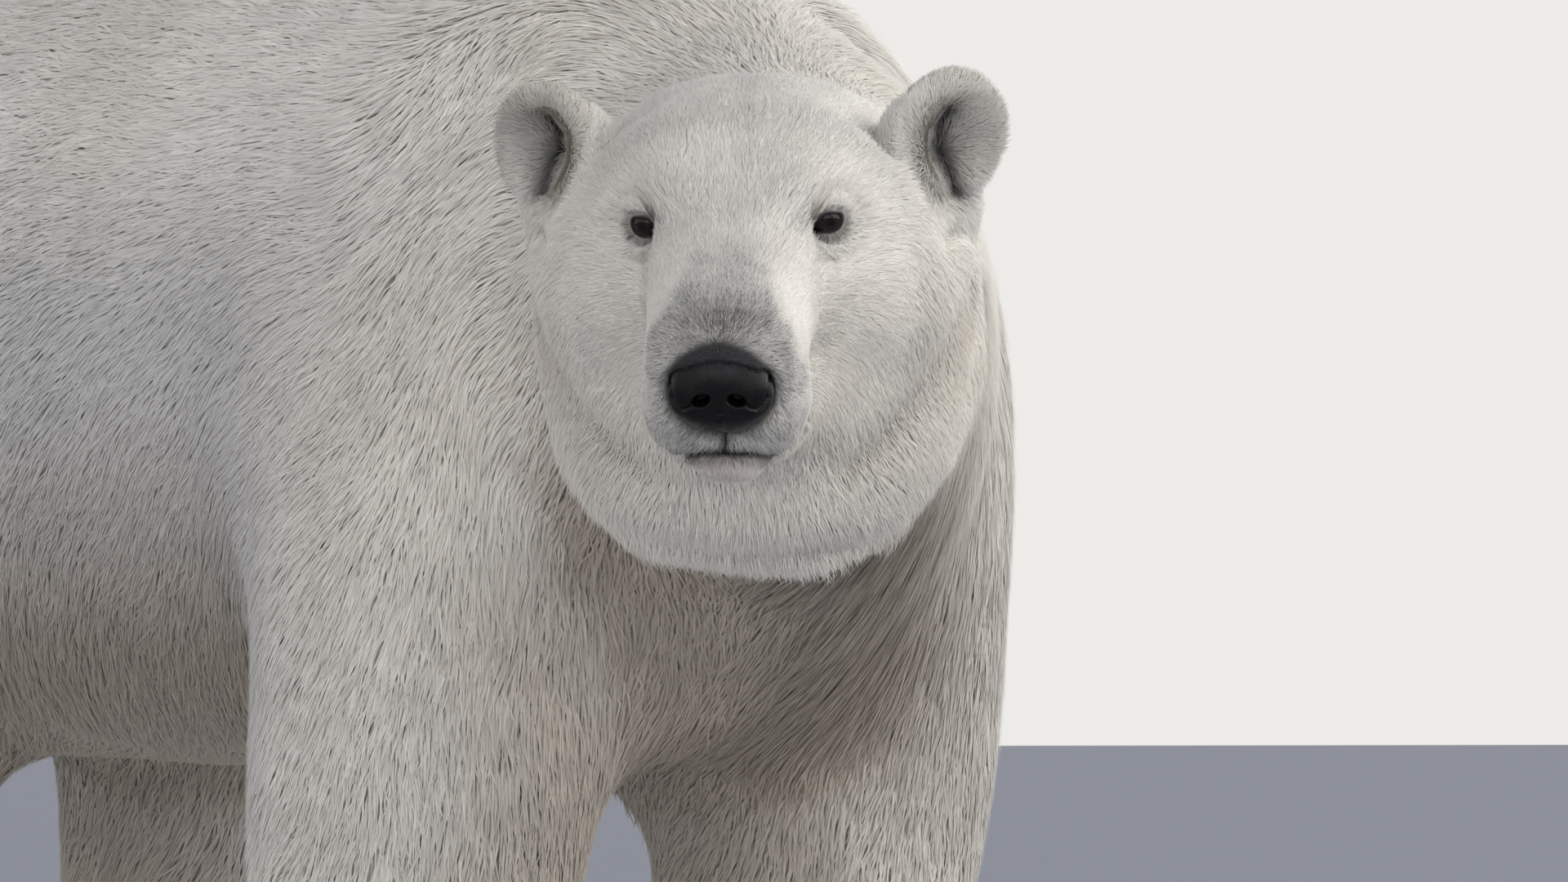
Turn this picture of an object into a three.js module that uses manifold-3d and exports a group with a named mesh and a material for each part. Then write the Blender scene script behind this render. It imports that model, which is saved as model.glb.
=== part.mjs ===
// A standing polar bear at life size, an adult male with its head turned to its right.
// Millimetres, +Z up, facing -Y, its left side at +X, its soles on z = 0.
// The body is one smooth field of named masses, coat included. It is turned into faceted solids
// with surface nets and parted into head, neck, trunk, tail, legs and paws by thin flat cuts.
import * as THREE from 'three'
import { mergeVertices } from 'three/addons/utils/BufferGeometryUtils.js'
import Module from 'manifold-3d'

const wasm = await Module()
wasm.setup()

// ---- Driving dimensions ----

const SHOULDER_HEIGHT = 1330 // top of the withers
const TRUNK_LENGTH = 1520 // base of the neck to the back of the rump
const TRUNK_WIDTH = 700 // at the belly, where it is widest
const CHEST_AHEAD = 230 // base of the neck, ahead of the line through the shoulders
const FORELEG_OUT = 204 // middle of a foreleg from the midline
const HINDLEG_OUT = 198
const HIND_AHEAD = -1085 // hips, behind the shoulders
const FORE_STRIDE = 60 // right foreleg ahead and left foreleg behind the middle
const HIND_STRIDE = 40
const PAW_WIDTH = 252
const HIND_PAW_WIDTH = 214
const TOE_IN = THREE.MathUtils.degToRad(11)
const EYE_HEIGHT = 1010
const EYE_MIDDLE = [-271, 640] // left of the midline and ahead of the shoulders
const HEAD_TURN = THREE.MathUtils.degToRad(-34.5) // towards its right
const HEAD_NOD = THREE.MathUtils.degToRad(17.5) // nose down
const HEAD_LENGTH = 423 // nose to the back of the skull
const HEAD_WIDTH = 298 // across the cheeks
const MUZZLE_WIDTH = 118
const EYE_SPACING = 125 // between the eyeballs' middles
const EYE_RADIUS = 14
const EAR_RADIUS = 45
const EAR_OUT = 147 // middle of an ear from the head's midline
const EAR_UP = { right: 24, left: 34 } // the left ear is pricked a little higher
const CLAW_LENGTH = 58
const GAP = 0.5 // left between neighbouring pieces
const NOSE_GAP = 1.2 // round the nose pad, whose facets and pocket differ a little

const RIGHT = -1
const LEFT = 1
const SIDES = { right: RIGHT, left: LEFT }

// ---- Frames: each places its own left, ahead and up in the whole animal ----

const at = (left, ahead, up) => new THREE.Vector3(left, -ahead, up)

function frameAt(origin, turn = 0, nod = 0) {
  const rotation = new THREE.Euler(nod, 0, turn, 'ZXY')
  const toWorld = new THREE.Matrix4().makeRotationFromEuler(rotation).setPosition(origin)
  return { toWorld, toLocal: toWorld.clone().invert() }
}

const place = (frame, left, ahead, up) => at(left, ahead, up).applyMatrix4(frame.toWorld)
const heading = (frame, left, ahead, up) => at(left, ahead, up).transformDirection(frame.toWorld)

const body = frameAt(at(0, 0, 0))
const skull = frameAt(at(EYE_MIDDLE[0], EYE_MIDDLE[1], EYE_HEIGHT), HEAD_TURN, HEAD_NOD)

// ---- Fields: signed distances, below zero inside ----

const softMin = (a, b, blend) => {
  const share = Math.max(blend - Math.abs(a - b), 0) / blend
  return Math.min(a, b) - share * share * blend * 0.25
}
const softMax = (a, b, blend) => -softMin(-a, -b, blend)

// Signed distance, near enough, to an ellipsoid or a squarer shape of the same half sizes.
function ellipsoidDistance(offsets, halves, squareness) {
  let sum = 0
  for (let axis = 0; axis < 3; axis++) sum += Math.abs(offsets[axis] / halves[axis]) ** squareness
  const level = sum ** (1 / squareness)
  if (level < 1e-3) return -Math.min(...halves)
  let slope = 0
  for (let axis = 0; axis < 3; axis++) {
    const ratio = Math.abs(offsets[axis] / halves[axis]) / level
    slope += (ratio ** (squareness - 1) / halves[axis]) ** 2
  }
  return (level - 1) / Math.sqrt(slope)
}

function ellipsoid(frame, [left, ahead, up], [halfWide, halfLong, halfTall], squareness = 2) {
  const middle = at(left, ahead, up)
  const local = new THREE.Vector3()
  return (point) => {
    local.copy(point).applyMatrix4(frame.toLocal).sub(middle)
    return ellipsoidDistance([local.x, local.y, local.z], [halfWide, halfLong, halfTall], squareness)
  }
}

const SPAN_STEPS = 5

// A tube along a smooth spine through the stations [left, ahead, up, half width, half depth],
// closed at its ends by caps of the given depth.
function tube(frame, stations, { squareness = 2, caps = [60, 60] } = {}) {
  const spine = new THREE.CatmullRomCurve3(stations.map(([left, ahead, up]) => at(left, ahead, up)))
  const sizes = new THREE.CatmullRomCurve3(stations.map((row) => new THREE.Vector3(row[3], row[4], 0)))
  const count = (stations.length - 1) * SPAN_STEPS
  const rings = []
  for (let i = 0; i <= count; i++) {
    const middle = spine.getPoint(i / count)
    const size = sizes.getPoint(i / count)
    const along = spine.getTangent(i / count)
    const side = new THREE.Vector3(1, 0, 0).addScaledVector(along, -along.x).normalize()
    rings.push({ middle, size, along, side, deep: along.clone().cross(side) })
  }
  const local = new THREE.Vector3()
  const offset = new THREE.Vector3()
  const step = new THREE.Vector3()
  return (point) => {
    local.copy(point).applyMatrix4(frame.toLocal)
    let nearest = Infinity
    let found = 0
    let share = 0
    for (let i = 0; i < count; i++) {
      step.subVectors(rings[i + 1].middle, rings[i].middle)
      offset.subVectors(local, rings[i].middle)
      const part = THREE.MathUtils.clamp(offset.dot(step) / step.lengthSq(), 0, 1)
      const distance = offset.addScaledVector(step, -part).lengthSq()
      if (distance < nearest) {
        nearest = distance
        found = i
        share = part
      }
    }
    const from = rings[found]
    const to = rings[found + 1]
    const mix = (key) => step.lerpVectors(from[key], to[key], share)
    offset.copy(local).sub(mix('middle'))
    const across = offset.dot(mix('side').normalize())
    const depth = offset.dot(mix('deep').normalize())
    const beyond = offset.dot(mix('along').normalize())
    const size = mix('size')
    const cap = caps[beyond > 0 ? 1 : 0]
    return ellipsoidDistance([across, depth, beyond], [size.x, size.y, cap], squareness)
  }
}

// ---- Trunk: top line, belly line and half width along the back ----

const BACK_LINE = [
  // share of the trunk's length, then top, bottom and half width as shares of height and width
  [0.0, 0.865, 0.545, 0.49],
  [0.1, 0.915, 0.47, 0.8],
  [0.19, 0.962, 0.462, 0.9],
  [0.32, 0.988, 0.46, 0.93],
  [0.48, 0.97, 0.46, 0.975],
  [0.64, 0.965, 0.463, 1.0],
  [0.79, 0.985, 0.475, 0.96],
  [0.91, 0.955, 0.505, 0.82],
  [0.985, 0.875, 0.575, 0.56],
]

const trunkMass = tube(
  body,
  BACK_LINE.map(([along, top, bottom, width]) => [
    0,
    CHEST_AHEAD - along * TRUNK_LENGTH,
    (SHOULDER_HEIGHT * (top + bottom)) / 2,
    (TRUNK_WIDTH / 2) * width,
    (SHOULDER_HEIGHT * (top - bottom)) / 2,
  ]),
  { squareness: 2.15, caps: [80, 55] },
)

const neckMass = tube(
  body,
  [
    [0, 90, 945, 215, 285],
    [-24, 235, 940, 184, 236],
    [-84, 362, 945, 172, 198],
    [-146, 462, 950, 166, 180],
    [-190, 535, 955, 146, 146],
  ],
  { caps: [80, 40] },
)

const tailMass = tube(
  body,
  [
    [0, -1235, 1120, 62, 66],
    [0, -1318, 1068, 54, 50],
    [0, -1356, 998, 42, 38],
    [0, -1362, 934, 28, 26],
  ],
  { caps: [40, 20] },
)

// ---- Legs: stations from the top down, shifted ahead or back by the stride ----

function legMass(side, out, stations, stride, caps) {
  const rows = stations.map(([outwards, ahead, up, wide, deep, follow]) => [
    side * (out + outwards),
    ahead - side * stride * follow,
    up,
    wide,
    deep,
  ])
  return tube(body, rows, { caps })
}

const foreleg = (side) =>
  legMass(
    side,
    FORELEG_OUT,
    [
      // outwards, ahead, up, half width, half depth, share of the stride
      [-85, -110, 1110, 84, 130, 0.2],
      [-19, 15, 930, 114, 175, 0.6],
      [5, 8, 690, 135, 168, 1],
      [6, -18, 530, 127, 152, 1],
      [4, -14, 380, 108, 122, 1],
      [0, 8, 220, 100, 106, 1],
      [-4, 45, 95, 106, 122, 1],
    ],
    FORE_STRIDE,
    [70, 50],
  )

const hindleg = (side) =>
  legMass(
    side,
    HINDLEG_OUT,
    [
      [-60, HIND_AHEAD - 5, 1000, 128, 205, 0.1],
      [-6, HIND_AHEAD + 30, 790, 146, 212, 0.5],
      [6, HIND_AHEAD + 38, 620, 134, 182, 0.9],
      [4, HIND_AHEAD - 2, 440, 108, 134, 1],
      [-2, HIND_AHEAD - 58, 270, 92, 104, 1],
      [-4, HIND_AHEAD - 48, 120, 92, 112, 1],
    ],
    HIND_STRIDE,
    [70, 50],
  )

// ---- Paws: each in a frame of its own on the floor, toes turned in ----

const TOES = [-2, -1, 0, 1, 2]

const pawKinds = {
  fore: { width: PAW_WIDTH, heel: -95, front: 112, tall: 66, out: FORELEG_OUT - 6, ahead: 62, stride: FORE_STRIDE },
  hind: {
    width: HIND_PAW_WIDTH,
    heel: -150,
    front: 128,
    tall: 62,
    out: HINDLEG_OUT - 4,
    ahead: HIND_AHEAD + 15,
    stride: HIND_STRIDE,
  },
}

const pawFrame = (kind, side) =>
  frameAt(at(side * kind.out, kind.ahead - side * kind.stride, 0), -side * TOE_IN)

const toePlace = (kind, toe) => [toe * kind.width * 0.187, kind.front - 8 * toe * toe, kind.tall * 0.5]

function pawMass(kind, frame) {
  const { width, heel, front, tall } = kind
  const sole = tube(
    frame,
    [
      [0, heel, tall * 0.75, width * 0.32, tall * 0.86],
      [0, heel * 0.35, tall * 0.95, width * 0.41, tall * 1.06],
      [0, front * 0.4, tall * 0.8, width * 0.485, tall * 0.9],
      [0, front * 0.8, tall * 0.6, width * 0.45, tall * 0.68],
    ],
    { caps: [40, 45] },
  )
  const toes = TOES.map((toe) =>
    ellipsoid(frame, toePlace(kind, toe), [width * 0.108, 46, tall * 0.53], 2.2),
  )
  return (point) => {
    let distance = sole(point)
    for (const toe of toes) distance = softMin(distance, toe(point), 14)
    return distance
  }
}

// ---- Head: masses in the skull's frame, whose origin is midway between the eyes ----

const half = HEAD_WIDTH / 2
const snout = MUZZLE_WIDTH / 2
const skullMasses = [
  // the blend, then the mass
  [0, ellipsoid(skull, [0, -112, -10], [half * 0.83, HEAD_LENGTH * 0.31, 84], 2.2)],
  [
    34,
    tube(
      skull,
      [
        [0, -70, -12, 92, 76],
        [0, 0, -28, 70, 72],
        [0, 55, -44, snout + 4, 62],
        [0, 105, -57, snout, 54],
        [0, 143, -68, snout - 2, 47],
      ],
      { squareness: 2.7, caps: [60, 20] },
    ),
  ],
  [
    20,
    tube(
      skull,
      [
        [0, -110, -116, 106, 68],
        [0, -45, -121, 84, 54],
        [0, 30, -127, 60, 42],
        [0, 90, -134, 46, 30],
        [0, 118, -140, 35, 21],
      ],
      { squareness: 2.4, caps: [60, 22] },
    ),
  ],
]
for (const side of [RIGHT, LEFT]) {
  skullMasses.push(
    [34, ellipsoid(skull, [side * half * 0.53, -96, -66], [half * 0.48, 100, 82])], // cheek
    [60, ellipsoid(skull, [side * half * 0.56, -165, -118], [half * 0.5, 78, 110])], // ruff
    [30, ellipsoid(skull, [side * 48, -22, 24], [34, 44, 24])], // brow
    [16, ellipsoid(skull, [side * snout * 0.52, 116, -93], [snout * 0.5, 46, 31])], // upper lip
  )
}

const nosePad = ellipsoid(skull, [0, 158, -67], [38.5, 26, 32], 2.7)

// The coat of the throat hangs as a full ruff under the jaw.
const throatRuff = ellipsoid(skull, [0, -108, -188], [148, 106, 120])

// Shallow hollows round the eyes.
const orbits = [RIGHT, LEFT].map((side) =>
  ellipsoid(skull, [side * (EYE_SPACING / 2 + 22), 30, 2], [22, 30, 20]),
)

function pinna(word) {
  const side = SIDES[word]
  const outwards = THREE.MathUtils.degToRad(24) * side
  const ear = frameAt(place(skull, side * EAR_OUT, -130, EAR_UP[word]), HEAD_TURN + outwards, HEAD_NOD)
  const disc = ellipsoid(ear, [0, 0, 0], [EAR_RADIUS, 21, EAR_RADIUS + 4], 2.2)
  const root = ellipsoid(ear, [-side * 22, -8, -20], [38, 34, 36])
  const cup = ellipsoid(ear, [side * 3, 22, 0], [EAR_RADIUS - 17, 26, EAR_RADIUS - 15])
  return (point) => softMax(softMin(disc(point), root(point), 18), -cup(point), 10)
}
const pinnae = Object.keys(SIDES).map(pinna)

function headMass(point) {
  let distance = Infinity
  for (const [blend, mass] of skullMasses) {
    distance = blend ? softMin(distance, mass(point), blend) : mass(point)
  }
  distance = softMin(distance, throatRuff(point), 50)
  for (const orbit of orbits) distance = softMax(distance, -orbit(point), 14)
  for (const ear of pinnae) distance = softMin(distance, ear(point), 16)
  return distance
}

// ---- The whole animal ----

const legs = []
const feet = []
for (const side of [RIGHT, LEFT]) {
  legs.push(foreleg(side), hindleg(side))
  for (const kind of Object.values(pawKinds)) feet.push(pawMass(kind, pawFrame(kind, side)))
}

function animal(point) {
  let distance = trunkMass(point)
  for (const leg of legs) distance = softMin(distance, leg(point), 75)
  for (const foot of feet) distance = softMin(distance, foot(point), 40)
  distance = softMin(distance, neckMass(point), 70)
  distance = softMin(distance, tailMass(point), 45)
  return softMin(distance, headMass(point), 45)
}

// ---- Surface nets: a field inside a box of the frame, as an indexed closed surface ----

const CORNERS = [0, 1, 2, 3, 4, 5, 6, 7].map((bits) => [bits & 1, (bits >> 1) & 1, bits >> 2])
const CELL_EDGES = []
for (let a = 0; a < 8; a++) {
  for (const bit of [1, 2, 4]) if (!(a & bit)) CELL_EDGES.push([a, a | bit])
}

function insideBox(point, low, high) {
  return Math.max(...['x', 'y', 'z'].map((key) => Math.max(low[key] - point[key], point[key] - high[key])))
}

function settle(point, field, reach) {
  const slope = new THREE.Vector3()
  const probe = new THREE.Vector3()
  for (let round = 0; round < 4; round++) {
    const distance = field(point)
    for (const key of ['x', 'y', 'z']) {
      probe.copy(point)[key] += 0.5
      slope[key] = (field(probe) - distance) / 0.5
    }
    const steep = Math.max(slope.lengthSq(), 0.2)
    point.addScaledVector(slope, THREE.MathUtils.clamp(-distance / steep, -reach, reach))
  }
}

function surfaceNets(field, frame, low, high, cell) {
  const counts = ['x', 'y', 'z'].map((key) => Math.ceil((high[key] - low[key]) / cell[key]) + 3)
  const [nx, ny, nz] = counts
  const corner = (i, j, k) =>
    new THREE.Vector3(low.x + (i - 1) * cell.x, low.y + (j - 1) * cell.y, low.z + (k - 1) * cell.z)
  const bounded = (point) =>
    Math.max(insideBox(point, low, high), field(point.clone().applyMatrix4(frame.toWorld)))
  const index = (i, j, k) => i + nx * (j + ny * k)
  const values = new Float64Array(nx * ny * nz)
  for (let k = 0; k < nz; k++) {
    for (let j = 0; j < ny; j++) {
      for (let i = 0; i < nx; i++) values[index(i, j, k)] = bounded(corner(i, j, k)) || 1e-6
    }
  }
  const vertices = []
  const cellVertex = new Map()
  const reach = Math.min(cell.x, cell.y, cell.z) / 2
  for (let k = 0; k < nz - 1; k++) {
    for (let j = 0; j < ny - 1; j++) {
      for (let i = 0; i < nx - 1; i++) {
        const level = CORNERS.map(([a, b, c]) => values[index(i + a, j + b, k + c)])
        const crossing = new THREE.Vector3()
        let crossings = 0
        for (const [a, b] of CELL_EDGES) {
          if (level[a] < 0 === level[b] < 0) continue
          const share = level[a] / (level[a] - level[b])
          const [from, to] = [CORNERS[a], CORNERS[b]]
          crossing.x += from[0] + share * (to[0] - from[0])
          crossing.y += from[1] + share * (to[1] - from[1])
          crossing.z += from[2] + share * (to[2] - from[2])
          crossings++
        }
        if (!crossings) continue
        const point = crossing.divideScalar(crossings).multiply(cell).add(corner(i, j, k))
        settle(point, bounded, reach)
        cellVertex.set(index(i, j, k), vertices.length / 3)
        vertices.push(...point.applyMatrix4(frame.toWorld))
      }
    }
  }
  const triangles = []
  const ring = [[0, 0], [1, 0], [1, 1], [0, 1]]
  const spread = (a, b) => {
    const gap = (axis) => vertices[3 * a + axis] - vertices[3 * b + axis]
    return gap(0) ** 2 + gap(1) ** 2 + gap(2) ** 2
  }
  for (let k = 1; k < nz - 1; k++) {
    for (let j = 1; j < ny - 1; j++) {
      for (let i = 1; i < nx - 1; i++) {
        const here = values[index(i, j, k)] < 0
        for (let axis = 0; axis < 3; axis++) {
          const next = [i, j, k]
          next[axis]++
          const there = values[index(...next)] < 0
          if (here === there) continue
          const quad = ring.map(([p, q]) => {
            const spot = [i, j, k]
            spot[(axis + 1) % 3] -= 1 - p
            spot[(axis + 2) % 3] -= 1 - q
            return cellVertex.get(index(...spot))
          })
          if (there) quad.reverse()
          const [a, b, c, d] = quad
          if (spread(a, c) <= spread(b, d)) triangles.push(a, b, c, a, c, d)
          else triangles.push(b, c, d, b, d, a)
        }
      }
    }
  }
  return { vertices, triangles }
}

// ---- Solids ----

const toSolid = (vertices, triangles) =>
  new wasm.Manifold(
    new wasm.Mesh({
      numProp: 3,
      vertProperties: new Float32Array(vertices),
      triVerts: new Uint32Array(triangles),
    }),
  )

function solidOf(geometry) {
  geometry.deleteAttribute('normal')
  geometry.deleteAttribute('uv')
  const merged = mergeVertices(geometry, 1e-4)
  return toSolid(merged.attributes.position.array, merged.index.array)
}

// The part of a field, by default the whole animal's, inside a box given by two of its corners.
function bodySolid(frame, low, high, cell, field = animal) {
  const box = new THREE.Box3().setFromPoints([at(...low), at(...high)])
  const net = surfaceNets(field, frame, box.min, box.max, new THREE.Vector3(...cell))
  return toSolid(net.vertices, net.triangles)
}

// The space on the far side of every plane. A plane is a point and the heading into the space,
// and the space is drawn in by the inset.
const ROOM = 4000

function spaceBeyond(planes, inset) {
  let space = null
  for (const { point, normal } of planes) {
    const block = new THREE.BoxGeometry(ROOM, ROOM, ROOM)
    const turn = new THREE.Quaternion().setFromUnitVectors(new THREE.Vector3(0, 0, 1), normal)
    const middle = point.clone().addScaledVector(normal, ROOM / 2 + inset)
    block.applyQuaternion(turn).translate(middle.x, middle.y, middle.z)
    const solid = solidOf(block)
    space = space ? space.intersect(solid) : solid
  }
  return space
}

const plane = (frame, [left, ahead, up], [toLeft, toAhead, toUp]) => ({
  point: place(frame, left, ahead, up),
  normal: heading(frame, toLeft, toAhead, toUp).normalize(),
})

const inside = (solid, planes) => solid.intersect(spaceBeyond(planes, GAP / 2))
const outside = (solid, planes) => solid.subtract(spaceBeyond(planes, -GAP / 2))

// ---- Where the cuts run ----

const floorCut = { point: at(0, 0, 0), normal: new THREE.Vector3(0, 0, 1) }
const onFloor = (solid) => solid.intersect(spaceBeyond([floorCut], 0))

const headCut = [plane(skull, [0, -205, 0], [0, 0.872, 0.49])]
const neckCut = [plane(body, [0, 190, 950], [-0.16, 0.95, 0.27])]
const jawCut = [
  plane(skull, [0, 145, -127], [0, 0.1, -1]),
  plane(skull, [0, 38, -120], [0, 1, 0.3]),
]
const earCut = (side) => [
  plane(skull, [side * 113, -130, 6], [side * 0.8, 0.05, 0.6]),
  plane(skull, [side * 120, -130, -27], [side * 0.35, 0, 1]),
  plane(skull, [0, -186, 0], [0, 1, 0]),
  plane(skull, [0, -82, 0], [0, -1, 0]),
]
const tailCut = [
  plane(body, [0, -1296, 1000], [0, -1, 0.24]),
  plane(body, [0, 0, 1152], [0, 0, -1]),
  plane(body, [-66, 0, 0], [1, 0, 0]),
  plane(body, [66, 0, 0], [-1, 0, 0]),
]
const forelegCut = (side) => [
  plane(body, [side * 95, 0, 690], [side * 0.567, 0, -0.824]),
  plane(body, [side * 34, 0, 600], [side, 0, 0]),
  plane(body, [0, -225 - side * FORE_STRIDE * 0.6, 650], [0, 1, -0.16]),
]
const hindlegCut = (side) => [
  plane(body, [side * 60, 0, 650], [side * 0.66, 0, -0.75]),
  plane(body, [side * 30, 0, 600], [side, 0, 0]),
  plane(body, [0, -855 - side * HIND_STRIDE * 0.5, 650], [0, -1, -0.2]),
]
const pawCut = (kind) => [plane(body, [0, 0, kind === pawKinds.fore ? 150 : 135], [0, 0, -1])]

// ---- Claws: curved horns from each toe's tip ----

const CLAW_SIDES = 5
const CLAW_RINGS = [
  // share of the length, radius, drop
  [0, 8.5, 0],
  [0.55, 7, 4],
]

function clawSolid(frame, base, swell) {
  const [left, ahead, up] = base
  const vertices = []
  for (const [share, radius, drop] of CLAW_RINGS) {
    for (let i = 0; i < CLAW_SIDES; i++) {
      const angle = (i / CLAW_SIDES) * 2 * Math.PI
      const reach = radius + swell
      const along = ahead + share * CLAW_LENGTH - (share ? 0 : swell)
      const spot = place(frame, left + reach * Math.sin(angle), along, up - drop + reach * Math.cos(angle))
      vertices.push(...spot)
    }
  }
  vertices.push(...place(frame, left, ahead + CLAW_LENGTH + swell, up - 15))
  const tip = CLAW_RINGS.length * CLAW_SIDES
  const triangles = []
  for (let i = 0; i < CLAW_SIDES; i++) {
    const next = (i + 1) % CLAW_SIDES
    if (i > 0 && next > 0) triangles.push(0, i, next)
    for (let ring = 0; ring < CLAW_RINGS.length - 1; ring++) {
      const [here, beyond] = [ring * CLAW_SIDES, (ring + 1) * CLAW_SIDES]
      triangles.push(here + i, beyond + i, here + next, here + next, beyond + i, beyond + next)
    }
    const last = tip - CLAW_SIDES
    triangles.push(last + i, tip, last + next)
  }
  return toSolid(vertices, triangles)
}

// ---- Materials and the scene graph ----

const paints = {
  coat: { color: 0xcdc9c0, roughness: 0.9 },
  face: { color: 0xc9c6bf, roughness: 0.9 },
  ear: { color: 0xb0aca4, roughness: 0.9 },
  nose: { color: 0x1b1a1c, roughness: 0.35 },
  eye: { color: 0x1a110b, roughness: 0.08 },
  claw: { color: 0x2c2723, roughness: 0.4 },
}

const bear = new THREE.Group()

function addPiece(name, geometry, paint) {
  const piece = new THREE.Mesh(geometry, new THREE.MeshStandardMaterial({ ...paint, metalness: 0 }))
  piece.name = name
  bear.add(piece)
  return piece
}

function addSolid(name, solid, paint) {
  const mesh = solid.getMesh()
  const geometry = new THREE.BufferGeometry()
  const positions = new Float32Array(mesh.numVert * 3)
  for (let i = 0; i < mesh.numVert; i++) {
    for (let axis = 0; axis < 3; axis++) positions[3 * i + axis] = mesh.vertProperties[i * mesh.numProp + axis]
  }
  geometry.setAttribute('position', new THREE.BufferAttribute(positions, 3))
  geometry.setIndex(new THREE.BufferAttribute(new Uint32Array(mesh.triVerts), 1))
  return addPiece(name, geometry, paint)
}

// ---- Head, jaw, nose, ears and eyes ----

const EYE_AIM = THREE.MathUtils.degToRad(24) // outwards from straight ahead
const LID_OPENING = { wide: 16, tall: 11.5, deep: 26 }

const eyePlace = (side) => place(skull, side * (EYE_SPACING / 2), 2, 0)

const ball = (halfWide, halfLong, halfTall) =>
  new THREE.SphereGeometry(1, 12, 7).rotateX(Math.PI / 2).scale(halfWide, halfLong, halfTall)

// The socket round an eyeball and the opening between its lids.
function eyeSocket(side) {
  const spot = eyePlace(side)
  const socket = solidOf(ball(EYE_RADIUS + GAP, EYE_RADIUS + GAP, EYE_RADIUS + GAP).translate(...spot))
  const aim = new THREE.Euler(HEAD_NOD, 0, HEAD_TURN + side * EYE_AIM, 'ZXY')
  const opening = ball(LID_OPENING.wide, LID_OPENING.deep, LID_OPENING.tall)
    .translate(0, -LID_OPENING.deep, 0)
    .applyQuaternion(new THREE.Quaternion().setFromEuler(aim))
    .translate(...spot)
  return socket.add(solidOf(opening))
}

function buildHead() {
  const whole = bodySolid(skull, [-205, -300, -250], [205, 205, 110], [22, 27, 23])
  let head = inside(whole, headCut)
  addSolid('jaw', inside(head, jawCut), paints.face)
  head = outside(head, jawCut)
  const [low, high, cell] = [[-50, 120, -110], [50, 200, -25], [13, 12, 13]]
  addSolid('nose', bodySolid(skull, low, high, cell, nosePad), paints.nose)
  head = head.subtract(bodySolid(skull, low, high, cell, (point) => nosePad(point) - NOSE_GAP))
  for (const [word, side] of Object.entries(SIDES)) {
    const reach = [side * 95, side * 205]
    const earBlock = bodySolid(
      skull,
      [Math.min(...reach), -190, -40],
      [Math.max(...reach), -75, 90],
      [15, 13, 15],
    )
    addSolid(`ear_${word}`, inside(earBlock, earCut(side)), paints.ear)
    head = outside(head, earCut(side))
    head = head.subtract(eyeSocket(side))
    const eye = ball(EYE_RADIUS, EYE_RADIUS, EYE_RADIUS)
    addPiece(`eye_${word}`, eye, paints.eye).position.copy(eyePlace(side))
  }
  addSolid('head', head, paints.face)
}

// ---- Trunk, neck and tail, with the legs parted from them ----

function buildBody() {
  const whole = bodySolid(body, [-420, -1430, 60], [420, 620, 1400], [76, 116, 75])
  const legBlock = bodySolid(body, [-420, -1430, -60], [420, 420, 1060], [55, 62, 102])
  let trunk = whole
  addSolid('neck', outside(inside(whole, neckCut), headCut), paints.coat)
  trunk = outside(trunk, neckCut)
  const tailBlock = bodySolid(body, [-110, -1470, 850], [110, -1270, 1200], [30, 34, 46])
  addSolid('tail', inside(tailBlock, tailCut), paints.coat)
  trunk = outside(trunk, tailCut)
  for (const [word, side] of Object.entries(SIDES)) {
    const cuts = { foreleg: forelegCut(side), hindleg: hindlegCut(side) }
    for (const [leg, cut] of Object.entries(cuts)) {
      const kind = leg === 'foreleg' ? pawKinds.fore : pawKinds.hind
      let solid = outside(inside(legBlock, cut), pawCut(kind))
      if (leg === 'foreleg') solid = outside(solid, neckCut)
      addSolid(`${leg}_${word}`, solid, paints.coat)
      trunk = outside(trunk, cut)
    }
  }
  addSolid('trunk', trunk, paints.coat)
}

// ---- Paws with five claws each ----

function buildPaws() {
  for (const [kindWord, kind] of Object.entries(pawKinds)) {
    for (const [word, side] of Object.entries(SIDES)) {
      const frame = pawFrame(kind, side)
      const reach = kind.width / 2 + 30
      const block = bodySolid(frame, [-reach, kind.heel - 77, -18], [reach, kind.front + 70, 185], [41, 45, 41])
      let paw = onFloor(inside(block, pawCut(kind)))
      for (const toe of TOES) {
        const [left, ahead, up] = toePlace(kind, toe)
        const base = [left, ahead + 22, up + 2]
        paw = paw.subtract(clawSolid(frame, base, GAP))
        addSolid(`claw_${kindWord}_${word}_${toe + 3}`, clawSolid(frame, base, 0), paints.claw)
      }
      addSolid(`${kindWord}paw_${word}`, paw, paints.coat)
    }
  }
}

buildHead()
buildBody()
buildPaws()

// The origin is on the floor under the middle of the whole.
const extent = new THREE.Box3().setFromObject(bear)
const middle = extent.getCenter(new THREE.Vector3())
bear.position.set(-middle.x, -middle.y, 0)

export default bear
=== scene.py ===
"""A polar bear's looks: one skin over its flesh, a coat of tufts, lids, nose, eyes and claws."""

import math

import bmesh
import bpy
import numpy as np
import openvdb as vdb
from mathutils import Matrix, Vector
from mathutils.bvhtree import BVHTree


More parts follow.
